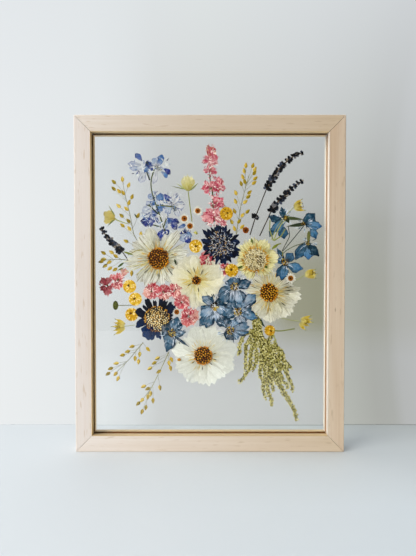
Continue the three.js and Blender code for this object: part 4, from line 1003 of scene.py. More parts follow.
for k, (name, stem) in enumerate(LAVENDERS.items()):
    rng = np.random.default_rng(50 + k)
    path = follow(stem["spike"], STEM_POINTS)
    length = np.linalg.norm(np.diff(path, axis=0), axis=1).sum()
    places = np.linspace(0, 1, int(length / WHORL_STEP) + 1)
    places[1:-1] += rng.normal(0, 0.012, len(places) - 2)
    shares = np.linspace(0, 1, STEM_POINTS)
    at = np.column_stack([np.interp(places, shares, path[:, i]) for i in (0, 1)])
    up = -np.gradient(at, axis=0)
    size = CALYX_TOP + CALYX_GROWTH * places
    if "lone" in stem:
        at, up = np.vstack([at, stem["lone"]]), np.vstack([up, up[-1]])
        size = np.append(size, LONE_CALYX)
    heading = np.repeat(np.arctan2(up[:, 1], up[:, 0]), CALYXES)
    lean = np.tile(np.linspace(-CALYX_FAN, CALYX_FAN, CALYXES), len(at))
    lean = heading + lean + rng.normal(0, 0.3, len(lean))
    size, foot = np.repeat(size, CALYXES), np.repeat(at, CALYXES, 0)
    way = np.stack([np.cos(lean), np.sin(lean)], 1)
    reach = (size * rng.uniform(0.7, 1.25, len(size)))[:, None]
    rows = np.column_stack([foot, foot + way * reach, 1.8 + 0.36 * size])
    calyxes = drops(rows, layer_back(1) - rng.uniform(0, 0.4, len(lean)), 0.7, 51 + k, peak=0.6)
    add_piece(name + "_calyxes", calyxes, calyx_finish, name)
    core = tubes([stem["spike"]], 1.4, 2.0, layer_back(1) - 0.1, 0.5, 52, count=26)
    lower = tubes([stem["stem"]], 1.2, 1.3, layer_back(1) - 0.1, 0.5, 53, count=20)
    add_piece(name + "_stalk", join(core, lower), lavender_stalk, name)

# Quaking grass
# Five sprays. Each golden seed head is a drop of overlapping husks on a stalk as thin as
# a hair, and the stalks leave one slender stem.

GRASSES = {
    "grass_upper_left": dict(
        stem=[[-101.1, 311.8], [-97.3, 291.8], [-92.7, 274.1], [-90.4, 261.2], [-88, 248.2],
              [-84.4, 243.5], [-78.7, 231.9]],
        heads=[[-111.1, 310.6], [-101, 313.8], [-93.7, 307.1], [-111.4, 302.9], [-105.1, 300],
               [-100.4, 298.2], [-89.9, 293.6], [-93.5, 286.9], [-105.8, 283], [-96.8, 279.8],
               [-102.4, 271.8], [-82.9, 272], [-94.4, 265.7], [-101.5, 260.6], [-93.5, 257],
               [-79.9, 250.6], [-97.3, 242.3]]),
    "grass_far_left": dict(
        stem=[[-122, 221.5], [-115.4, 221], [-99.9, 221], [-89.2, 218]],
        heads=[[-123.6, 228.7], [-114.2, 229.4], [-123.6, 221.3], [-126.4, 218.4],
               [-109.4, 225], [-117.1, 217.6], [-121.9, 213.4], [-116.3, 210.4],
               [-110.3, 209.2], [-90.8, 204.5]]),
    "grass_upper_middle": dict(
        stem=[[45.2, 318.8], [40.5, 301.2], [35.8, 282.4], [30.5, 249.4]],
        heads=[[41.6, 329.6], [39.6, 323.5], [37.9, 316.5], [36.1, 308.8], [40.2, 311.2],
               [49.7, 329.4], [52.1, 325.2], [51.7, 321.1], [52.7, 314.7], [51.3, 309.6],
               [29.9, 298.2], [29.6, 288.3], [46, 298.6], [44.7, 293.7], [41.1, 287.7],
               [43.8, 276.5], [38, 272.4], [28.5, 277.1], [34.1, 265.3], [25.2, 264.8],
               [28.4, 257], [37.6, 258.9]]),
    "grass_lower_left": dict(
        stem=[[-107.6, 91], [-94.5, 104.1], [-77.7, 124.4]],
        heads=[[-90.9, 119.6], [-96.1, 113.7], [-102, 109.5], [-109.4, 99.9], [-116, 93.7],
               [-119, 87.6], [-110.1, 87.5], [-107.3, 81.9], [-81.8, 110.3], [-87.2, 105.4],
               [-83.2, 101.7], [-71.9, 116.3]]),
    "grass_lower_middle": dict(
        stem=[[-80.4, 55], [-68.5, 70.6], [-56.5, 94.5], [-47.5, 113.7]],
        heads=[[-61.3, 105.8], [-65, 100.2], [-70.2, 93.9], [-59.8, 90.1], [-47.5, 99.9],
               [-44.6, 104.1], [-45.8, 93.9], [-58.3, 71.1], [-77.6, 72.8], [-72.7, 70],
               [-69.2, 64.1], [-72.4, 60.5], [-66.4, 55.9], [-79.3, 56.6], [-83.8, 52.6],
               [-74.8, 47.8], [-79.3, 43]]),
}
HEAD_LENGTH = 7.0
HEAD_WIDTH = 4.4
HUSK_SHIFT = 0.55
STALK_SLANT = 1.3
husk_finish = seed_finish("husk", [
    (0.0, "544c10"), (0.3, "8c7a1c"), (0.7, "bc9c30"), (1.0, "dccb78")], 0.55)
straw_finish = seed_finish("straw", [(0.0, "5a5a34"), (1.0, "84824c")])


def grass_spray(stem, heads, seed):
    """Husks of each head as drops, and hair-thin stalks curved from the stem to them."""
    rng = np.random.default_rng(seed)
    line = follow(stem, STEM_POINTS)
    spacing = np.linalg.norm(line[1] - line[0])
    husks, stalks = [], []
    for head in np.asarray(heads, float):
        away = np.linalg.norm(line - head, axis=1)
        nearest = int(away.argmin())
        ahead = nearest + 1 + round(away[nearest] * STALK_SLANT / spacing)
        root = line[min(ahead, STEM_POINTS - 2)]
        way = (head - root) / np.linalg.norm(head - root)
        side = np.array([-way[1], way[0]])
        foot, tip = head - way * HEAD_LENGTH / 2, head + way * HEAD_LENGTH / 2
        for shift in (-HUSK_SHIFT, 0.0, HUSK_SHIFT):
            slip = side * shift
            husks.append([*(foot + slip * 0.3), *(tip + slip - way * abs(shift)),
                          HEAD_WIDTH * (0.95 if shift == 0 else 0.7)])
        middle = (root + foot) / 2 + side * rng.uniform(-0.6, 0.6)
        stalks.append([root, middle, foot + way * 0.5])
    depths = REAR - np.tile([0.5, 0.36, 0.5], len(heads))
    return (drops(husks, depths, 0.62, seed, peak=0.4),
            join(tubes([stem], 0.45, 0.9, REAR - 0.2, 0.35, seed, count=30),
                 tubes(stalks, 0.34, 0.3, REAR - 0.2, 0.3, seed, count=8, sides=5)))


for k, (name, spray) in enumerate(GRASSES.items()):
    husks, stalks = grass_spray(spray["stem"], spray["heads"], 60 + k)
    add_piece(name + "_husks", toned(husks, 0.2, 0.65), husk_finish, name)
    add_piece(name + "_stalks", stalks, straw_finish, name)

# Cream bell and yellow cup
# A cream flower shut like a bell with long green sepals, and a yellow one seen from the
# side, each on a thin stalk.

BELL_PETALS = [
    [-25.6, 301, -33, 314, 5.5], [-25.5, 300.5, -30, 318.5, 6], [-25.3, 300.5, -26, 320, 6],
    [-25, 300.5, -20.5, 318.5, 6], [-24.6, 301, -17.5, 313.5, 5.5], [-25, 300.5, -22.5, 311, 4.5]]
BELL_SHADES = [0.5, 0, 0.3, 0, 0.6, 0.9]
sheet = petals(BELL_PETALS, 1, 71, steps=(18, 13), foot=0.5, swell=0.6, blunt=0.6, bow=0.14,
               teeth=2, tooth=0.16, bend=0.08, wander=0.08, pleats=2, pleat=0.05, ruffle=0.03,
               spread=0.3, tilt=0.05, shades=BELL_SHADES)
bell_tissue = petal_finish(
    "bell_tissue", [(0.0, "a89a38"), (0.35, "dcd48c"), (1.0, "eeeac4")],
    other=[(0.0, "8c8424"), (0.5, "b8aa48"), (1.0, "ccc27c")], rim="8c8a3c", rim_share=0.6,
    rim_from=0.82, vein="a09030", vein_share=0.75, veins=3.5, blotch="f2eed2",
    blotch_share=0.4)
add_piece("cream_bell_petals", sheet, bell_tissue, "cream_bell_flower")
sepals = drops([[-26, 300.5, -39, 309, 1.9], [-27, 301.5, -45.5, 306, 1.2],
                [-23, 300.5, -13, 309.5, 2.0], [-24, 300, -16.5, 307, 1.2]],
               layer_back(1) - 0.2, 0.4, 72, peak=0.35)
stalk = tubes([[[-25.3, 302], [-23, 282], [-20.7, 264.8]]], 1.1, 1.2, layer_back(1) - 0.1, 0.5,
              73, count=18)
green_finish = seed_finish("green_stalk", [(0.0, "6a7040"), (0.6, "8e9450"), (1.0, "aaae72")])
add_piece("cream_bell_sepals", join(sepals, stalk), green_finish, "cream_bell_flower")

CUP_PETALS = [
    [-110, 270.5, -123.5, 274.5, 7], [-110, 269.5, -122.5, 270, 8], [-110, 268.5, -123, 264, 6.5],
    [-111, 273, -119, 276.5, 5]]
sheet = petals(CUP_PETALS, 1, 74, steps=(16, 11), foot=0.6, swell=0.6, blunt=0.7, bow=0.1,
               teeth=1, tooth=0.06, bend=0.04, wander=0.05, pleats=2, pleat=0.05, ruffle=0.03,
               spread=0.3, tilt=0.05)
cup_tissue = petal_finish(
    "cup_tissue", [(0.0, "a8923a"), (0.4, "d2be64"), (1.0, "dccc88")], rim="e0d494",
    rim_share=0.4, vein="96802c", vein_share=0.6, veins=4, blotch="d8c880", blotch_share=0.4)
add_piece("yellow_cup_petals", sheet, cup_tissue, "yellow_cup_flower")
sepals = drops([[-110, 271, -117.3, 284, 1.7], [-110, 268.5, -119, 259, 2.2]],
               layer_back(1) - 0.25, 0.4, 75, peak=0.3)
stalk = tubes([[[-112, 270], [-107, 266], [-93.9, 261.9]]], 1.7, 0.8, layer_back(1) - 0.1, 0.5,
              76, count=18)
add_piece("yellow_cup_sepals", join(sepals, stalk), green_finish, "yellow_cup_flower")

# Small yellow stars
# Four thin-stalked cups with pointed petals, pressed from the side, with the anthers
# spilled over them.

STAR_CUPS = [
    dict(base=[97, 281], tips=[[105.5, 289.5], [106, 284.5], [108.5, 278]], layer=6,
         stem=[[87.6, 272.4], [76.6, 257.4], [70.8, 243.5]]),
    dict(base=[110.5, 203.5], tips=[[121, 209], [123, 204], [121.5, 199.5]], layer=4,
         stem=[[105, 199.5], [93.1, 193.7]]),
    dict(base=[105.5, 149], tips=[[116.5, 155], [118.5, 148], [111, 140]], layer=2,
         stem=[[95.6, 150.1], [77.5, 154.1]]),
    dict(base=[-99, 143.5], tips=[[-109, 151], [-112.5, 143], [-110, 134.5]], layer=2,
         stem=[[-100.1, 143.1], [-87.1, 144.8]])]
star_tissue = petal_finish(
    "star_tissue", [(0.0, "ccc480"), (0.5, "ceb23c"), (1.0, "d8c050")], rim="e2d08c",
    rim_share=0.5, vein="7c5c10", vein_share=0.6, veins=3, blotch="84640e", blotch_share=0.5,
    blotch_size=2.5)
star_anthers = seed_finish("star_anthers", [
    (0.0, "38280c"), (0.5, "6c5414"), (0.7, "e4d870"), (1.0, "f0e8ac")])
for k, cup in enumerate(STAR_CUPS):
    ends = np.array(cup["tips"], float)
    ends = np.concatenate([ends, (ends[:-1] + ends[1:]) / 2])
    sideways = ends - ends.mean(0)
    ends = ends + 0.18 * (ends - cup["base"])
    rows = np.column_stack([cup["base"] + 0.3 * sideways, ends, np.full(len(ends), 3.9)])
    sheet = petals(rows, cup["layer"], 80 + k, steps=(16, 9), foot=0.4, swell=0.35,
                   blunt=0.04, bow=0.3, bend=0.1, wander=0.06, pleats=1.5, pleat=0.04,
                   ruffle=0.04, spread=0.12, tilt=0.05)
    name = f"star_cup_{k + 1}"
    add_piece(name + "_petals", sheet, star_tissue, name)
    depth = layer_back(cup["layer"])
    stalk = tubes([[cup["base"], *cup["stem"]]], 0.7, 0.6, depth - 0.1, 0.3, 84, count=24)
    tips = drops([[*tip, *(np.array(tip) * 1.22 - np.array(cup["base"]) * 0.22), 1.0]
                  for tip in cup["tips"]], depth - 0.16, 0.2, 85)
    middle = np.mean([cup["base"], *cup["tips"]], 0)
    bits = drops(strokes(middle, 0, 3.8, 18, 1.7, 1.1, 86 + k, spread=2), depth - 0.4, 0.16,
                 87)
    add_piece(name + "_anthers", toned(bits, 0, 0.85), star_anthers, name)
    add_piece(name + "_stalk", join(stalk, tips), green_finish, name)

# Yellow buttons
# Seven round heads packed with short yellow rays, with a dark spot where the last
# florets are still shut. The lowest has a bit of twig.

BUTTONS = [
    dict(centre=[19.1, 273.8], radius=7.6, layer=8, spot=[1.2, 0.6], faded=0),
    dict(centre=[-16.3, 236.3], radius=7.6, layer=8, spot=[0.5, 0.2], faded=0.28),
    dict(centre=[25.3, 208.3], radius=7.6, layer=8, spot=[-0.8, 0.8], faded=0.1),
    dict(centre=[-93.1, 189.7], radius=7.6, layer=6, spot=[-1, 1], faded=0.36),
    dict(centre=[-86.5, 174.9], radius=7.6, layer=6, spot=[-1, 1], faded=0.36),
    dict(centre=[-90.6, 157.1], radius=7.6, layer=6, spot=[-1.2, 1.4], faded=0.25),
    dict(centre=[69.5, 138.6], radius=6.2, layer=8, spot=[1.2, -0.8], faded=0.08)]
BUTTON_TWIGS = [[[69.5, 138.6], [82.8, 138], [98.5, 140.7]], [[74, 134], [77, 124]]]
RAY_OVERLAP = 1.05
RAY_RINGS = [(0.62, 1.04, 30, 0.1), (0.4, 0.78, 24, 0.14), (0.12, 0.5, 16, 0.18)]
button_finish = seed_finish("button_rays", [
    (0.0, "7a5208"), (0.3, "b8860f"), (0.65, "cea01c"), (1.0, "e0c040"), (1.5, "f2e09c")])
spot_finish = seed_finish("button_spot", [(0.0, "2c1604"), (1.0, "5c340c")])
for k, button in enumerate(BUTTONS):
    radius, back = button["radius"], layer_back(button["layer"])
    base = pad(button["centre"], back - 0.08, radius, 0.08, 90, sides=32, rings=5)
    rays = []
    for ring, (inner, outer, count, rise) in enumerate(RAY_RINGS):
        turns = 360 / count * (np.arange(count) + 0.5 * ring)
        fans = fan(button["centre"], np.column_stack([
            turns, np.full(count, outer * radius),
            np.full(count, 2 * math.pi * outer * radius / count * RAY_OVERLAP)]))
        fans[:, 0:2] += (fans[:, 2:4] - fans[:, 0:2]) * inner / outer
        rays.append(drops(fans, back - rise, 0.12, 91 + k + ring, peak=0.62))
    name = f"yellow_button_{k + 1}"
    whole = toned(join(base, *rays), button["faded"], 1 - button["faded"] / 2)
    add_piece(name + "_rays", whole, button_finish, name)
    place = np.add(button["centre"], button["spot"])
    spot = drops(strokes(place, 0, 1.3, 9, 2.2, 1.2, 92 + k), back - 0.24, 0.14, 93)
    if k == len(BUTTONS) - 1:
        twig = tubes(BUTTON_TWIGS, 1.6, 1.3, back - 0.1, 0.15, 94, count=20)
        add_piece(name + "_twig", twig, green_finish, name)
    add_piece(name + "_spot", spot, spot_finish, name)

# Tiny daisies
# Six heads with white rays around an orange-brown cushion of grains. They were laid down
# last and lie in front of the others.

DAISIES = [
    ([-14, 277], 5.8, 3.1), ([-29.5, 268.2], 5.8, 3.4), ([-23, 259.5], 5.8, 3.3),
    ([41.4, 254.7], 3.8, 3.7), ([93.5, 199.2], 6.5, 3.2), ([-38.4, 160.1], 4.8, 3.0)]
daisy_tissue = petal_finish(
    "daisy_tissue", [(0.0, "c8c09c"), (0.5, "dad7c8"), (1.0, "e0dfd6")], vein="b9b9a8",
    vein_share=0.3, veins=3)
eye_finish = seed_finish("daisy_eye", [
    (0.0, "140602"), (0.3, "4c1c04"), (0.6, "a05408"), (0.8, "b4700e"), (1.0, "dc9c30")])
DAISY_RAYS = 13
DAISY_GRAINS = 42
for k, (centre, radius, eye) in enumerate(DAISIES):
    rays = [[i * 360 / DAISY_RAYS + 9 * k, radius * (0.95 + 0.1 * (i % 2)), radius * 0.36]
            for i in range(DAISY_RAYS)]
    sheet = petals(fan(centre, rays), 8, 100 + k, steps=(9, 5), start=0.3, foot=0.4,
                   swell=0.7, blunt=0.5, bow=0.2, bend=0.08, wander=0.03, pleats=1,
                   pleat=0.01, ruffle=0.01, spread=0.04, tilt=0.02, thick=0.03)
    name = f"tiny_daisy_{k + 1}"
    add_piece(name + "_rays", sheet, daisy_tissue, name)
    cushion = pad(centre, FRONT - 0.1, eye, 0.06, 101, sides=20, rings=5)
    grains = beads(sunflower(centre, eye * 0.98, DAISY_GRAINS, FRONT - 0.16, FRONT - 0.2),
                   (0.36, 0.07, 0.36), 102 + k)
    tones = grains[2]["tone"]
    tones[:] = np.clip(tones * 0.6 + np.repeat(
        np.linspace(-0.5, 0.55, DAISY_GRAINS), len(tones) // DAISY_GRAINS), 0, 1)
    core = drops(strokes(centre, 0, 1.0, 8, 1.6, 1.1, 110 + k, spread=2), FRONT - 0.25, 0.06, 111)
    whole = join(toned(cushion, 0.45 if k == 3 else 0.72, 0), grains, toned(core, 0, 0.3))
    add_piece(name + "_eye", whole, eye_finish, name)

# Pink florets
# Nine single larkspur flowers, pink, one of them crimson, pressed open or from the side,
# with dark pleats around a small brown heart.

PINK_FLORETS = [
    (5, [[-68, 184.5, -78.5, 180.5, 10], [-68, 185.5, -72.5, 192.5, 9.5],
         [-67, 185.5, -63, 195, 8.5], [-66, 184.5, -57.5, 188, 10], [-67, 183.5, -63.5, 175, 10],
         [-68, 183.5, -72.5, 174, 10]],
     [0.1, 0.4, 0.9, 0.5, 0.55, 0.2]),
    (6, [[-54, 183.5, -61, 190, 8.5], [-53, 184.5, -52.5, 193.5, 9.5], [-53, 183.5, -45, 187, 10],
         [-53, 182, -47.5, 175, 10.5], [-54, 182, -59, 174, 10]],
     [0.6, 0.4, 0.5, 0.2, 0.45]),
    (5, [[-41.5, 185.5, -46, 192.5, 8], [-40.5, 185.5, -38, 193, 9.5],
         [-40.5, 185.5, -31, 187, 11], [-40.5, 184.5, -34.5, 177.5, 9.5],
         [-41.5, 184.5, -46.5, 177.5, 9.5]],
     [0.5, 0.2, 0.1, 0.15, 0.6]),
    (6, [[-33.5, 171.5, -41.5, 177, 10], [-33.5, 173, -33.5, 181.5, 10],
         [-32, 173, -24, 177.5, 10], [-32, 170.5, -22.5, 167, 10],
         [-33.5, 170.5, -30.5, 162.5, 10.5], [-34.5, 170.5, -41.5, 167, 10]],
     [0.5, 0.3, 0.2, 0.55, 0.6, 0.5]),
    (5, [[-25.5, 155.5, -34.5, 156.5, 10], [-25.5, 156.5, -30, 165, 8.5],
         [-24, 156.5, -22, 165.5, 10], [-23, 155.5, -12.5, 161.5, 11],
         [-23, 154.5, -12, 151, 11.5], [-24, 154.5, -18.5, 144, 10.5],
         [-25.5, 153, -26.5, 141.5, 10], [-26.5, 154.5, -33.5, 147.5, 9.5]],
     [0.8, 0.6, 0.5, 0.2, 0.1, 0.3, 0.4, 0.55]),
    (2, [[-120, 191.5, -126, 200.5, 8.5], [-121, 190, -127.5, 185, 8.5],
         [-120, 189, -118.5, 177.5, 9.5], [-119, 190, -113, 185.5, 7.5],
         [-119, 192.5, -114.5, 201, 7]],
     [0.8, 1, 0.45, 0.6, 0.15]),
    (2, [[-107.5, 196, -111.5, 204.5, 9.5], [-107.5, 197, -104, 206, 9.5],
         [-106.5, 196, -100.5, 196.5, 8.5], [-107.5, 195, -104.5, 185.5, 10.5],
         [-108.5, 195, -112.5, 187.5, 9.5], [-101.5, 202, -97.5, 211.5, 9.5]],
     [0.7, 0.5, 0.5, 0.6, 0.7, 0.05]),
    (5, [[-2, 224, -9, 229.5, 9.5], [-2, 225, -1.5, 234, 11], [-1, 225, 5, 219, 9.5],
         [-3.5, 222.5, -13, 222.5, 9], [-4.5, 218, -12.5, 218, 7], [-1, 226, 6, 229, 8]],
     [0.3, 0.45, 0.55, 0.7, 0.9, 0.4]),
    (2, [[17, 210, 13, 217, 7], [17.5, 211, 21, 218, 7.5], [17.5, 209, 16, 202, 7]],
     [0.9, 0.8, 0.95])]
pink_tissue = petal_finish(
    "pink_tissue", [(0.0, "d09084"), (0.35, "d89e90"), (1.0, "e0b09e")],
    between=[(0.0, "a02c40"), (0.5, "c44e5a"), (1.0, "d26c6c")],
    other=[(0.0, "6c1420"), (0.5, "a81c34"), (1.0, "bc3438")], rim="f0ccc4", rim_share=0.6,
    rim_from=0.8, vein="962838", vein_share=0.65, veins=3, blotch="f0d0ca", blotch_share=0.6,
    blotch_size=3.0, values=(0.75, 1.12))
crimson_tissue = petal_finish(
    "crimson_tissue", [(0.0, "a83c48"), (0.5, "c87c80"), (1.0, "d09490")],
    other=[(0.0, "5c1820"), (0.5, "8e2c38"), (1.0, "a03c46")], rim="c87870", rim_share=0.6,
    rim_from=0.8, vein="5c1820", vein_share=0.6, veins=3, blotch="c87a7c", blotch_share=0.5,
    blotch_size=2.6)
pink_folds = seed_finish("pink_folds", [
    (0.0, "7c1428"), (0.35, "b02c44"), (0.5, "d8747c"), (0.62, "f2ccc8"), (1.0, "faece6")])
heart_finish = seed_finish("floret_heart", [
    (0.0, "1c120e"), (0.5, "43301a"), (0.8, "6c6428"), (1.0, "7c1c2c")])
for k, (layer, rows, shades) in enumerate(PINK_FLORETS):
    sheet = petals(rows, layer, 120 + k, steps=(16, 13), foot=0.25, swell=0.62, blunt=0.5,
                   bow=0.24, teeth=2, tooth=0.24, bend=0.14, wander=0.14, pleats=2.5,
                   pleat=0.04, ruffle=0.05, spread=0.16, tilt=0.05, shades=shades)
    name = f"pink_floret_{k + 1}"
    dark = k == 5
    add_piece(name + "_petals", sheet, crimson_tissue if dark else pink_tissue, name)
    middle = np.mean(np.asarray(rows, float)[:, 0:2], 0)
    heart = drops(strokes(middle, 0, 1.6, 6, 2.2, 1.0, 121 + k), layer_back(layer) - 0.24,
                  0.2, 122)
    folds = drops(strokes(middle, 1.5, 9, 44, 3.6, 0.9, 125 + k), layer_back(layer) - 0.24,
                  0.12, 126)
    folds = toned(folds, 0, 0.55 if dark or k == 7 else 0.92)
    add_piece(name + "_folds", folds, pink_folds, name)
    add_piece(name + "_heart", heart, heart_finish, name)

# Blue florets and the blue sprig
# Steel-blue larkspur flowers: five single ones between the cosmos heads, and a sprig of
# four on forked stems at the right. The petals are darker at their edges.

BLUE_FLORETS = {
    "blue_floret_1": dict(
        layer=7, eye=[28.5, 190], shades=[0.5, 0.4, 0.85, 0.5, 0, 0.1, 0.35, 0.6],
        petals=[
            [28, 190, 25.5, 200.5, 12.5], [27, 190, 17.5, 189, 9.5], [32.5, 190, 48, 195, 8],
            [25.5, 187, 9, 178.5, 10.5], [27, 185.5, 24.5, 171.5, 9.5],
            [31.5, 184.5, 35.5, 169.5, 9.5],
            [31.5, 182, 39.5, 174, 9.5], [21, 183.5, 14, 170.5, 10.5]]),
    "blue_floret_2": dict(
        layer=6, eye=[5.5, 166.5], shades=[0.3, 0.95, 0.4, 0.3, 0.5, 0.1, 0.7, 0.95, 0.7],
        petals=[
            [2.5, 168.5, -9, 178.5, 7], [7, 168.5, 17, 175, 7], [8.5, 166, 17.5, 160, 9.5],
            [2.5, 163.5, -11, 155.5, 10.5], [2.5, 160, -4.5, 141.5, 9.5],
            [6, 160, 9.5, 148.5, 8],
            [9.5, 153, 18.5, 144, 9.5], [-2, 171.5, 3.5, 177.5, 7], [0, 158, -12, 143.5, 8]]),
    "blue_floret_3": dict(
        layer=5, eye=[32.5, 160.5], shades=[0.8, 0.5, 0.3, 0.35, 0.5, 0.5, 0, 0.9, 0.6],
        petals=[
            [29, 163.5, 22, 174, 9.5], [31.5, 163.5, 33.5, 171.5, 8],
            [40.5, 168.5, 53, 180.5, 9.5], [33.5, 162.5, 45.5, 168.5, 11],
            [37, 158, 55.5, 153, 7.5], [28, 160, 12.5, 156.5, 12.5], [33.5, 155.5, 38, 144, 11],
            [21, 153, 14, 144, 9.5], [39.5, 162.5, 48.5, 158, 8]]),
    "blue_floret_4": dict(
        layer=7, eye=[23.5, 138.5], shades=[0.3, 0.35, 0.5, 0.4, 0.95, 0.9, 0.95, 0.35],
        petals=[
            [24.5, 139.5, 30, 151, 12.5], [27, 141.5, 46, 143, 7.5], [28, 138, 45.5, 136.5, 6],
            [27, 137, 32.5, 128, 8], [24.5, 137, 19, 128, 9.5], [22, 141.5, 14.5, 149.5, 4.5],
            [20, 144, 22, 153, 8], [35, 139.5, 43, 148.5, 7]]),
    "blue_floret_lower": dict(
        layer=8, eye=[-43.8, 135.9], shades=[0.9, 0.7, 0.6, 0.8, 0.7, 0.9],
        petals=[
            [-43.5, 133.5, -56, 144.5, 9], [-43.5, 133.5, -37.5, 154.5, 11],
            [-43.5, 133.5, -52.5, 124.5, 12], [-43.5, 133.5, -50.5, 113.5, 7.5],
            [-43.5, 133.5, -27.5, 137, 5], [-43.5, 133.5, -24, 119.5, 2]]),
}
blue_tissue = petal_finish(
    "blue_tissue", [(0.0, "8c94a4"), (0.3, "c8cedc"), (0.7, "a0b4ca"), (1.0, "285c80")],
    between=[(0.0, "3c546c"), (0.35, "6c8aa4"), (0.75, "3c6a8c"), (1.0, "0e3448")],
    other=[(0.0, "1c2c38"), (0.5, "12344c"), (1.0, "061624")], rim="0a2c44", rim_share=1.0,
    rim_from=0.72, vein="1c4c68", vein_share=0.7, veins=3, blotch="c0c4cc",
    blotch_share=0.5, blotch_size=4.0, values=(0.6, 1.2))
blue_folds = seed_finish("blue_folds", [
    (0.0, "061828"), (0.35, "14384c"), (0.5, "4c7898"), (0.62, "a8bcd4"), (1.0, "e2e6f0")])
blue_heart = seed_finish("blue_heart", [
    (0.0, "120e0c"), (0.4, "38281a"), (0.6, "8c6a24"), (0.8, "ccaa3c"), (1.0, "b8b074")])
BLUE_BROADER = 1.18
BACK_BROADER = 1.3
BACK_REACH = 0.9
for k, (name, floret) in enumerate(BLUE_FLORETS.items()):
    lying = floret["layer"] < 8
    rows = np.array(floret["petals"], float) * (1, 1, 1, 1, BLUE_BROADER)
    sheet = petals(rows, floret["layer"], 130 + k, steps=(20, 13), foot=0.5,
                   swell=0.6, blunt=0.5, bow=0.2, bend=0.1, wander=0.07, pleats=2.2,
                   pleat=0.04 if lying else 0.015, ruffle=0.05 if lying else 0.01,
                   spread=0.16 if lying else 0.05, tilt=0.06 if lying else 0.01,
                   shades=floret["shades"])
    # Behind each floret lies a wider layer of back petals in the darkest blue: the flower's back
    # petals, and painted shade in the gaps between the front ones.
    backs = rows * (1, 1, 1, 1, BACK_BROADER)
    backs[:, 2:4] = BACK_REACH * backs[:, 2:4] + 0.1 * backs[:, 0:2]
    sheet = join(sheet, petals(backs, floret["layer"], 150 + k, steps=(12, 9), foot=0.6,
                               swell=0.6, blunt=0.6, bow=0.15, pleat=0.005, ruffle=0.005,
                               tilt=0.005, spread=0.02, lift=-0.04, thick=0.03,
                               shades=np.full(len(rows), 1.3)))
    add_piece(name + "_petals", sheet, blue_tissue, name)
    rise = 0.3 if lying else 0.22
    flecks = drops(strokes(floret["eye"], 4, 15, 54, 4.6, 0.85, 135 + k, spread=0.2),
                   layer_back(floret["layer"]) - rise + 0.06, 0.12, 136)
    add_piece(name + "_folds", flecks, blue_folds, name)
    heart = drops(strokes(floret["eye"], 0, 4.8, 56, 2.4, 1.3, 131 + k, spread=1),
                  layer_back(floret["layer"]) - rise + 0.02, 0.14, 132)
    heart[2]["tone"] **= 1.3
    add_piece(name + "_heart", heart, blue_heart, name)

BLUE_SPRIG_PETALS = [
    [86, 268, 82.5, 281.5, 7], [83.5, 265.5, 67.5, 271, 8], [84.5, 265.5, 71.5, 252.5, 11],
    [83.5, 258.5, 86, 244.5, 10.5], [76.5, 259.5, 69, 247, 6.5], [109, 262, 121.5, 274, 12.5],
    [112.5, 262, 129.5, 259, 10.5], [117, 257.5, 123, 244.5, 8], [111, 239, 99, 220.5, 10.5],
    [113.5, 236.5, 114, 220.5, 12.5], [113.5, 240, 126.5, 224.5, 9.5],
    [86, 220.5, 77.5, 234, 5], [89, 219, 96, 228.5, 10.5], [90.5, 214.5, 108, 210, 10.5],
    [86, 217, 79.5, 223, 8], [87, 214.5, 82.5, 197, 11], [86, 215.5, 76.5, 200.5, 7]]
BLUE_SPRIG_SHADES = [
    0.9, 0.9, 0.35, 0.4, 0.5, 0.8, 0.15, 0.35, 0.4, 0.15, 0.95, 0.95, 0.3, 0.35, 0.4, 0.3, 0.5]
BLUE_SPRIG_SPURS = [
    [88.5, 269, 109, 267, 4], [111, 262, 88, 259, 4.5], [114.5, 254, 113.5, 235.5, 4],
    [87, 271, 91.5, 263, 8]]
BLUE_SPRIG_STEMS = [
    [[108.5, 259.5], [97.5, 246], [84.5, 230.5]], [[90.5, 259.5], [92.5, 248], [83.5, 230.5]],
    [[109, 240], [97.5, 236.5], [87, 230.5], [82.5, 225]], [[84.5, 230.5], [83.5, 218], [86, 213.5]]]
BLUE_SPRIG_SEPALS = [
    [[91.5, 271], [82.5, 262], [76.5, 250.5], [74, 242.5]], [[69.5, 266.5], [69, 255], [73.5, 242.5]],
    [[87, 256], [82.5, 248], [74, 242.5]], [[72, 233], [76.5, 237.5], [82.5, 239.5]]]
SPRIG_EYES = [[86.9, 218], [108, 262], [113, 240], [87, 269]]
SPRIG_HEARTS = [4.6, 2, 2, 2]
SPRIG_BROADER = 1.12
sprig_rows = np.array(BLUE_SPRIG_PETALS, float) * (1, 1, 1, 1, SPRIG_BROADER)
sheet = petals(sprig_rows, 5, 141, steps=(20, 13), foot=0.35, swell=0.55, blunt=0.45,
               bow=0.3, bend=0.1, wander=0.06, pleats=2.2, pleat=0.05, ruffle=0.06,
               spread=0.24, tilt=0.08, shades=BLUE_SPRIG_SHADES)
sprig_tissue = petal_finish(
    "sprig_tissue", [(0.0, "6484a0"), (0.5, "6c9cc8"), (0.85, "3c78b8"), (1.0, "18446c")],
    between=[(0.0, "2c4854"), (0.5, "2c6488"), (1.0, "12344a")],
    other=[(0.0, "1c3038"), (0.5, "1c4256"), (1.0, "0c2230")], rim="082438", rim_share=1.0,
    rim_from=0.7, vein="0e3048", vein_share=0.8, veins=3, blotch="94b4cc", blotch_share=0.4,
    blotch_size=3.0, values=(0.55, 1.08))
add_piece("blue_sprig_petals", sheet, sprig_tissue, "blue_sprig_right")
flecks = drops(np.concatenate([strokes(spot, 3, 10, 24, 4.4, 0.9, 146 + k, spread=0.25)
                               for k, spot in enumerate(SPRIG_EYES)]),
               layer_back(6) - 0.2, 0.12, 147)
add_piece("blue_sprig_folds", flecks, blue_folds, "blue_sprig_right")
stalks = tubes(BLUE_SPRIG_STEMS, 0.9, 0.8, layer_back(6), 0.35, 142, count=20)
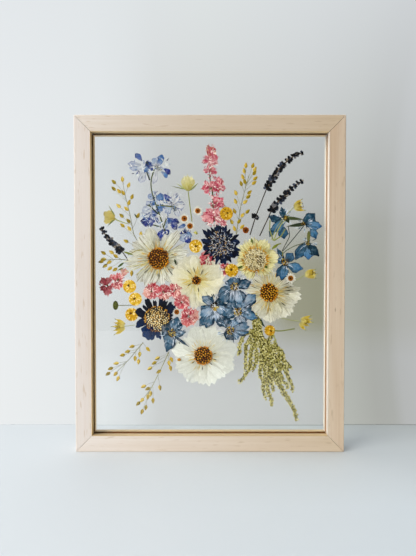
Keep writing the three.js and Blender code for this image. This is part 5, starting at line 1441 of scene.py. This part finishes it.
hearts = drops(np.concatenate([
    strokes(eye, 0, reach, int(12 * reach), 2.2, 1.2, 143 + k, spread=1)
    for k, (eye, reach) in enumerate(zip(SPRIG_EYES, SPRIG_HEARTS))]),
    FRONT - 0.08, 0.2, 144)
hearts[2]["tone"] **= 1.8
add_piece("blue_sprig_hearts", hearts, blue_heart, "blue_sprig_right")
spurs = drops(BLUE_SPRIG_SPURS, layer_back(6) - 0.2, 0.3, 145, sides=8, rings=8, peak=0.3)
sprig_stalk = seed_finish("sprig_stalk", [
    (0.0, "1c261c"), (0.5, "34402a"), (0.85, "5c6234"), (1.0, "8c8444")])
add_piece("blue_sprig_stalks", join(stalks, spurs), sprig_stalk, "blue_sprig_right")
sepals = tubes(BLUE_SPRIG_SEPALS, 1.3, 1.5, layer_back(6) - 0.2, 0.3, 146, count=20)
add_piece("blue_sprig_sepals", sepals, green_finish, "blue_sprig_right")

# Green bud and dark leaf
# A flat olive bud on a hair-thin stalk at the left, and a dark green leaf by the tassel.

bud = join(beads([(-109.6, layer_back(1) - 0.25, 167.6)], [(3.2, 0.25, 5.4)], 151, 18, 9),
           drops(strokes([-109.6, 167.6], 0, 3.0, 60, 1.6, 0.7, 152, lean=90),
                 layer_back(1) - 0.5, 0.16, 153),
           tubes([[[-108, 167.6], [-88.2, 167.8]]], 0.9, 0.6, layer_back(1) - 0.2, 0.3, 154))
bud_finish = seed_finish("olive_bud", [(0.0, "14180a"), (0.5, "40461a"), (1.0, "8c9040")])
add_piece("flat_green_bud_whole", bud, bud_finish, "flat_green_bud")
leaf = petals([[50, 159, 64.5, 142, 5.4], [52.5, 152, 58.5, 156, 3]], 2, 155, foot=0.4,
              swell=0.5, blunt=0.3, bow=0.3, bend=0.06, ruffle=0.04)
leaf_finish = petal_finish("leaf_tissue", [(0.0, "1b2a22"), (1.0, "22382c")], rim="3c5244",
                           rim_share=0.4, vein="10180f", vein_share=0.5, veins=3,
                           blotch="34483c", blotch_share=0.4)
add_piece("dark_leaf_blade", leaf, leaf_finish, "dark_leaf")

# Amaranth tassel
# One hanging head: strands of tiny olive flowers from a main spine, packed so tightly
# that they look granular. It lies behind everything else.

TASSEL_SPINE = [
    [54, 152], [55.5, 138], [60.7, 121], [65.4, 106], [71, 93], [78.5, 79], [85.5, 67.5],
    [92.5, 56], [98.5, 45], [101.8, 34.6]]
TASSEL_STRANDS = [
    [[51, 138], [40, 134], [35.1, 123.5], [34.9, 115.6], [33.2, 110.4]],
    [[52, 137], [46.6, 129.5], [41.5, 119.3], [42, 107.2], [41.5, 92.6]],
    [[50, 128], [47.7, 107.8], [46.7, 94.7], [40.9, 84.8], [34.7, 78.5]],
    [[53.9, 113], [54.5, 102.6], [50.3, 91.6]],
    [[54, 156], [51.5, 142], [52.5, 126], [54.8, 108]],
    [[60.7, 116], [59.2, 97.3], [58.7, 85.7], [61.9, 78.4]],
    [[65.4, 99], [63.9, 78.3], [61.9, 71], [64.5, 58.9]],
    [[69, 90], [67.1, 68.9], [71.3, 59.4], [72.4, 51.5]],
    [[71, 84], [74.4, 66.8]],
    [[77.5, 90], [83, 79], [90, 75.7], [91.1, 70]],
    [[74, 104], [80, 100.5], [85.9, 95.7], [91.1, 84.6], [96.2, 75.1], [96.3, 68.3]],
    [[78, 107], [84.5, 104.6], [91, 99.3], [94.6, 94.5]],
    [[66, 121], [72.6, 118.2], [82, 116.7], [86.2, 110.4], [84.5, 102.2]],
    [[54.9, 144.3], [62.2, 128.6], [67.4, 115.6], [72.7, 107.8], [77.8, 101]],
    [[66, 112], [68.5, 97], [70.2, 81.6]],
    [[66.5, 124], [74, 132.9]],
    [[67.5, 124.5], [72, 104.5], [75.5, 87.5], [81, 74.5]],
    [[75.5, 124.5], [81, 111.5], [87, 100], [91.5, 89.5]],
    [[62.5, 121], [61.5, 104.5], [65, 85]], [[60.5, 130], [68.5, 115], [77.5, 99], [86, 80.5]],
    [[69.5, 122], [74, 112.5], [80, 104.5], [82.5, 92]],
    [[60.5, 114], [67.5, 101], [70.5, 86], [74, 75.5]]]


GRANULE_PITCH = 2.1
STRAND_POINTS = 60


def granules(strands, pitch, seed):
    """
    Places of the tiny flowers: staggered rows one pitch apart, each place moved at
    random by up to 0.4 pitch and kept where it lies on a strand of given widths.
    """
    rng = np.random.default_rng(seed)
    x, z = np.meshgrid(np.arange(28, 108, pitch), np.arange(30, 160, pitch * 0.87))
    x[1::2] += pitch / 2
    spots = np.stack([x.ravel(), z.ravel()], 1)
    spots += rng.uniform(-0.4, 0.4, spots.shape) * pitch
    kept = np.zeros(len(spots), bool)
    for line, start, end in strands:
        gaps = np.linalg.norm(spots[:, None] - follow(line, STRAND_POINTS), axis=-1)
        kept |= (gaps < np.linspace(start, end, STRAND_POINTS) / 2).any(1)
    return spots[kept]


strands = [(TASSEL_SPINE, 12, 4.8)] + [(line, 6, 4.4) for line in TASSEL_STRANDS]
spots = granules(strands, GRANULE_PITCH, 160)
sizes = np.random.default_rng(161).uniform(0.8, 1.25, (len(spots), 1)) * (1, 0.3, 1)
grains = beads(np.insert(spots, 1, REAR - 0.62, axis=1), sizes, 162, 6, 3)
# The strands under the grains are dark olive: their own colour, darkened as painted shade in the gaps
# between the tiny flowers.
bed = join(tubes([TASSEL_SPINE], 10, 2.8, REAR - 0.22, 0.3, 180, count=40),
           tubes(TASSEL_STRANDS, 4.6, 3, REAR - 0.22, 0.3, 181, count=24))
tassel_finish = seed_finish("amaranth", [
    (0.0, "3c380e"), (0.25, "5c5620"), (0.42, "8c843c"), (0.7, "b0a85e"), (1.0, "d8d198")])
add_piece("amaranth_flowers", join(toned(bed, 0.12, 0), toned(grains, 0.4, 0.6)),
          tassel_finish, "amaranth_tassel")

# Loose bits
# Scraps that fell between the panes when the glass was closed: leaf tips, strips of
# straw, a shut bud, an orange seed and single pink petals.

GREEN_SCRAPS = [
    [-99.3, 217.5, -107, 211.5, 2.6], [-41, 221.5, -39, 214.5, 2.2], [71.5, 233, 80, 239.5, 3.4],
    [47.5, 245.5, 49.5, 239, 2.4], [64, 214, 66, 210.5, 3.2], [-100, 230, -88, 226, 2.4],
    [32, 211, 38.5, 213.5, 2.6], [-87, 274, -84, 268, 1.6], [-107, 208, -99, 212, 1.6]]
scraps = drops(GREEN_SCRAPS, FRONT - 0.1, 0.2, 190, sides=8, rings=7, peak=0.45)
leaf_scrap = seed_finish("leaf_scrap", [(0.0, "1e3018"), (0.5, "3c5424"), (1.0, "7c8430")])
add_piece("loose_leaf_tips", scraps, leaf_scrap)
STRAW_SCRAPS = [
    [[-101, 218], [-90, 219.5], [-76, 219]], [[-98, 207], [-88, 209], [-74, 215]],
    [[-95, 226], [-86, 231], [-78, 232]], [[-97, 212.5], [-84, 214], [-72, 216.5]],
    [[-86, 203], [-80, 208], [-70, 213]]]
straws = tubes(STRAW_SCRAPS, 0.7, 1.6, layer_back(4), 0.3, 191, count=20)
straw_scrap = seed_finish("straw_scrap", [(0.0, "8c8446"), (0.5, "bcb680"), (1.0, "dcd8b8")])
add_piece("loose_straws", straws, straw_scrap)
seed_bead = beads([(-35.8, FRONT, 104.6)], (2.3, 0.2, 1.8), 192, 14, 6)
bud = drops(strokes((-16.2, 251.5), 0, 1.9, 14, 2.6, 1.3, 194), layer_back(7), 0.3, 195)
shut_bud = seed_finish("shut_bud", [(0.0, "5c6420"), (0.4, "b0a83c"), (1.0, "dcd68c")])
add_piece("loose_bud", bud, shut_bud)
orange_seed = seed_finish("orange_seed", [(0.0, "8c5c10"), (1.0, "c8902c")])
add_piece("loose_seed", seed_bead, orange_seed)
PINK_SCRAPS = [[-116.5, 198, -113.5, 204, 3.5], [-100.5, 204, -97, 210, 6]]
sheet = petals(PINK_SCRAPS, 1, 193, foot=0.4, swell=0.6, blunt=0.4, bow=0.2, pleat=0.03,
               shades=[0.4, 0.1])
add_piece("loose_pink_petals", sheet, pink_tissue)

size = {"cad": [list(c) for c in cad_box], "visual": [list(c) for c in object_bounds()]}
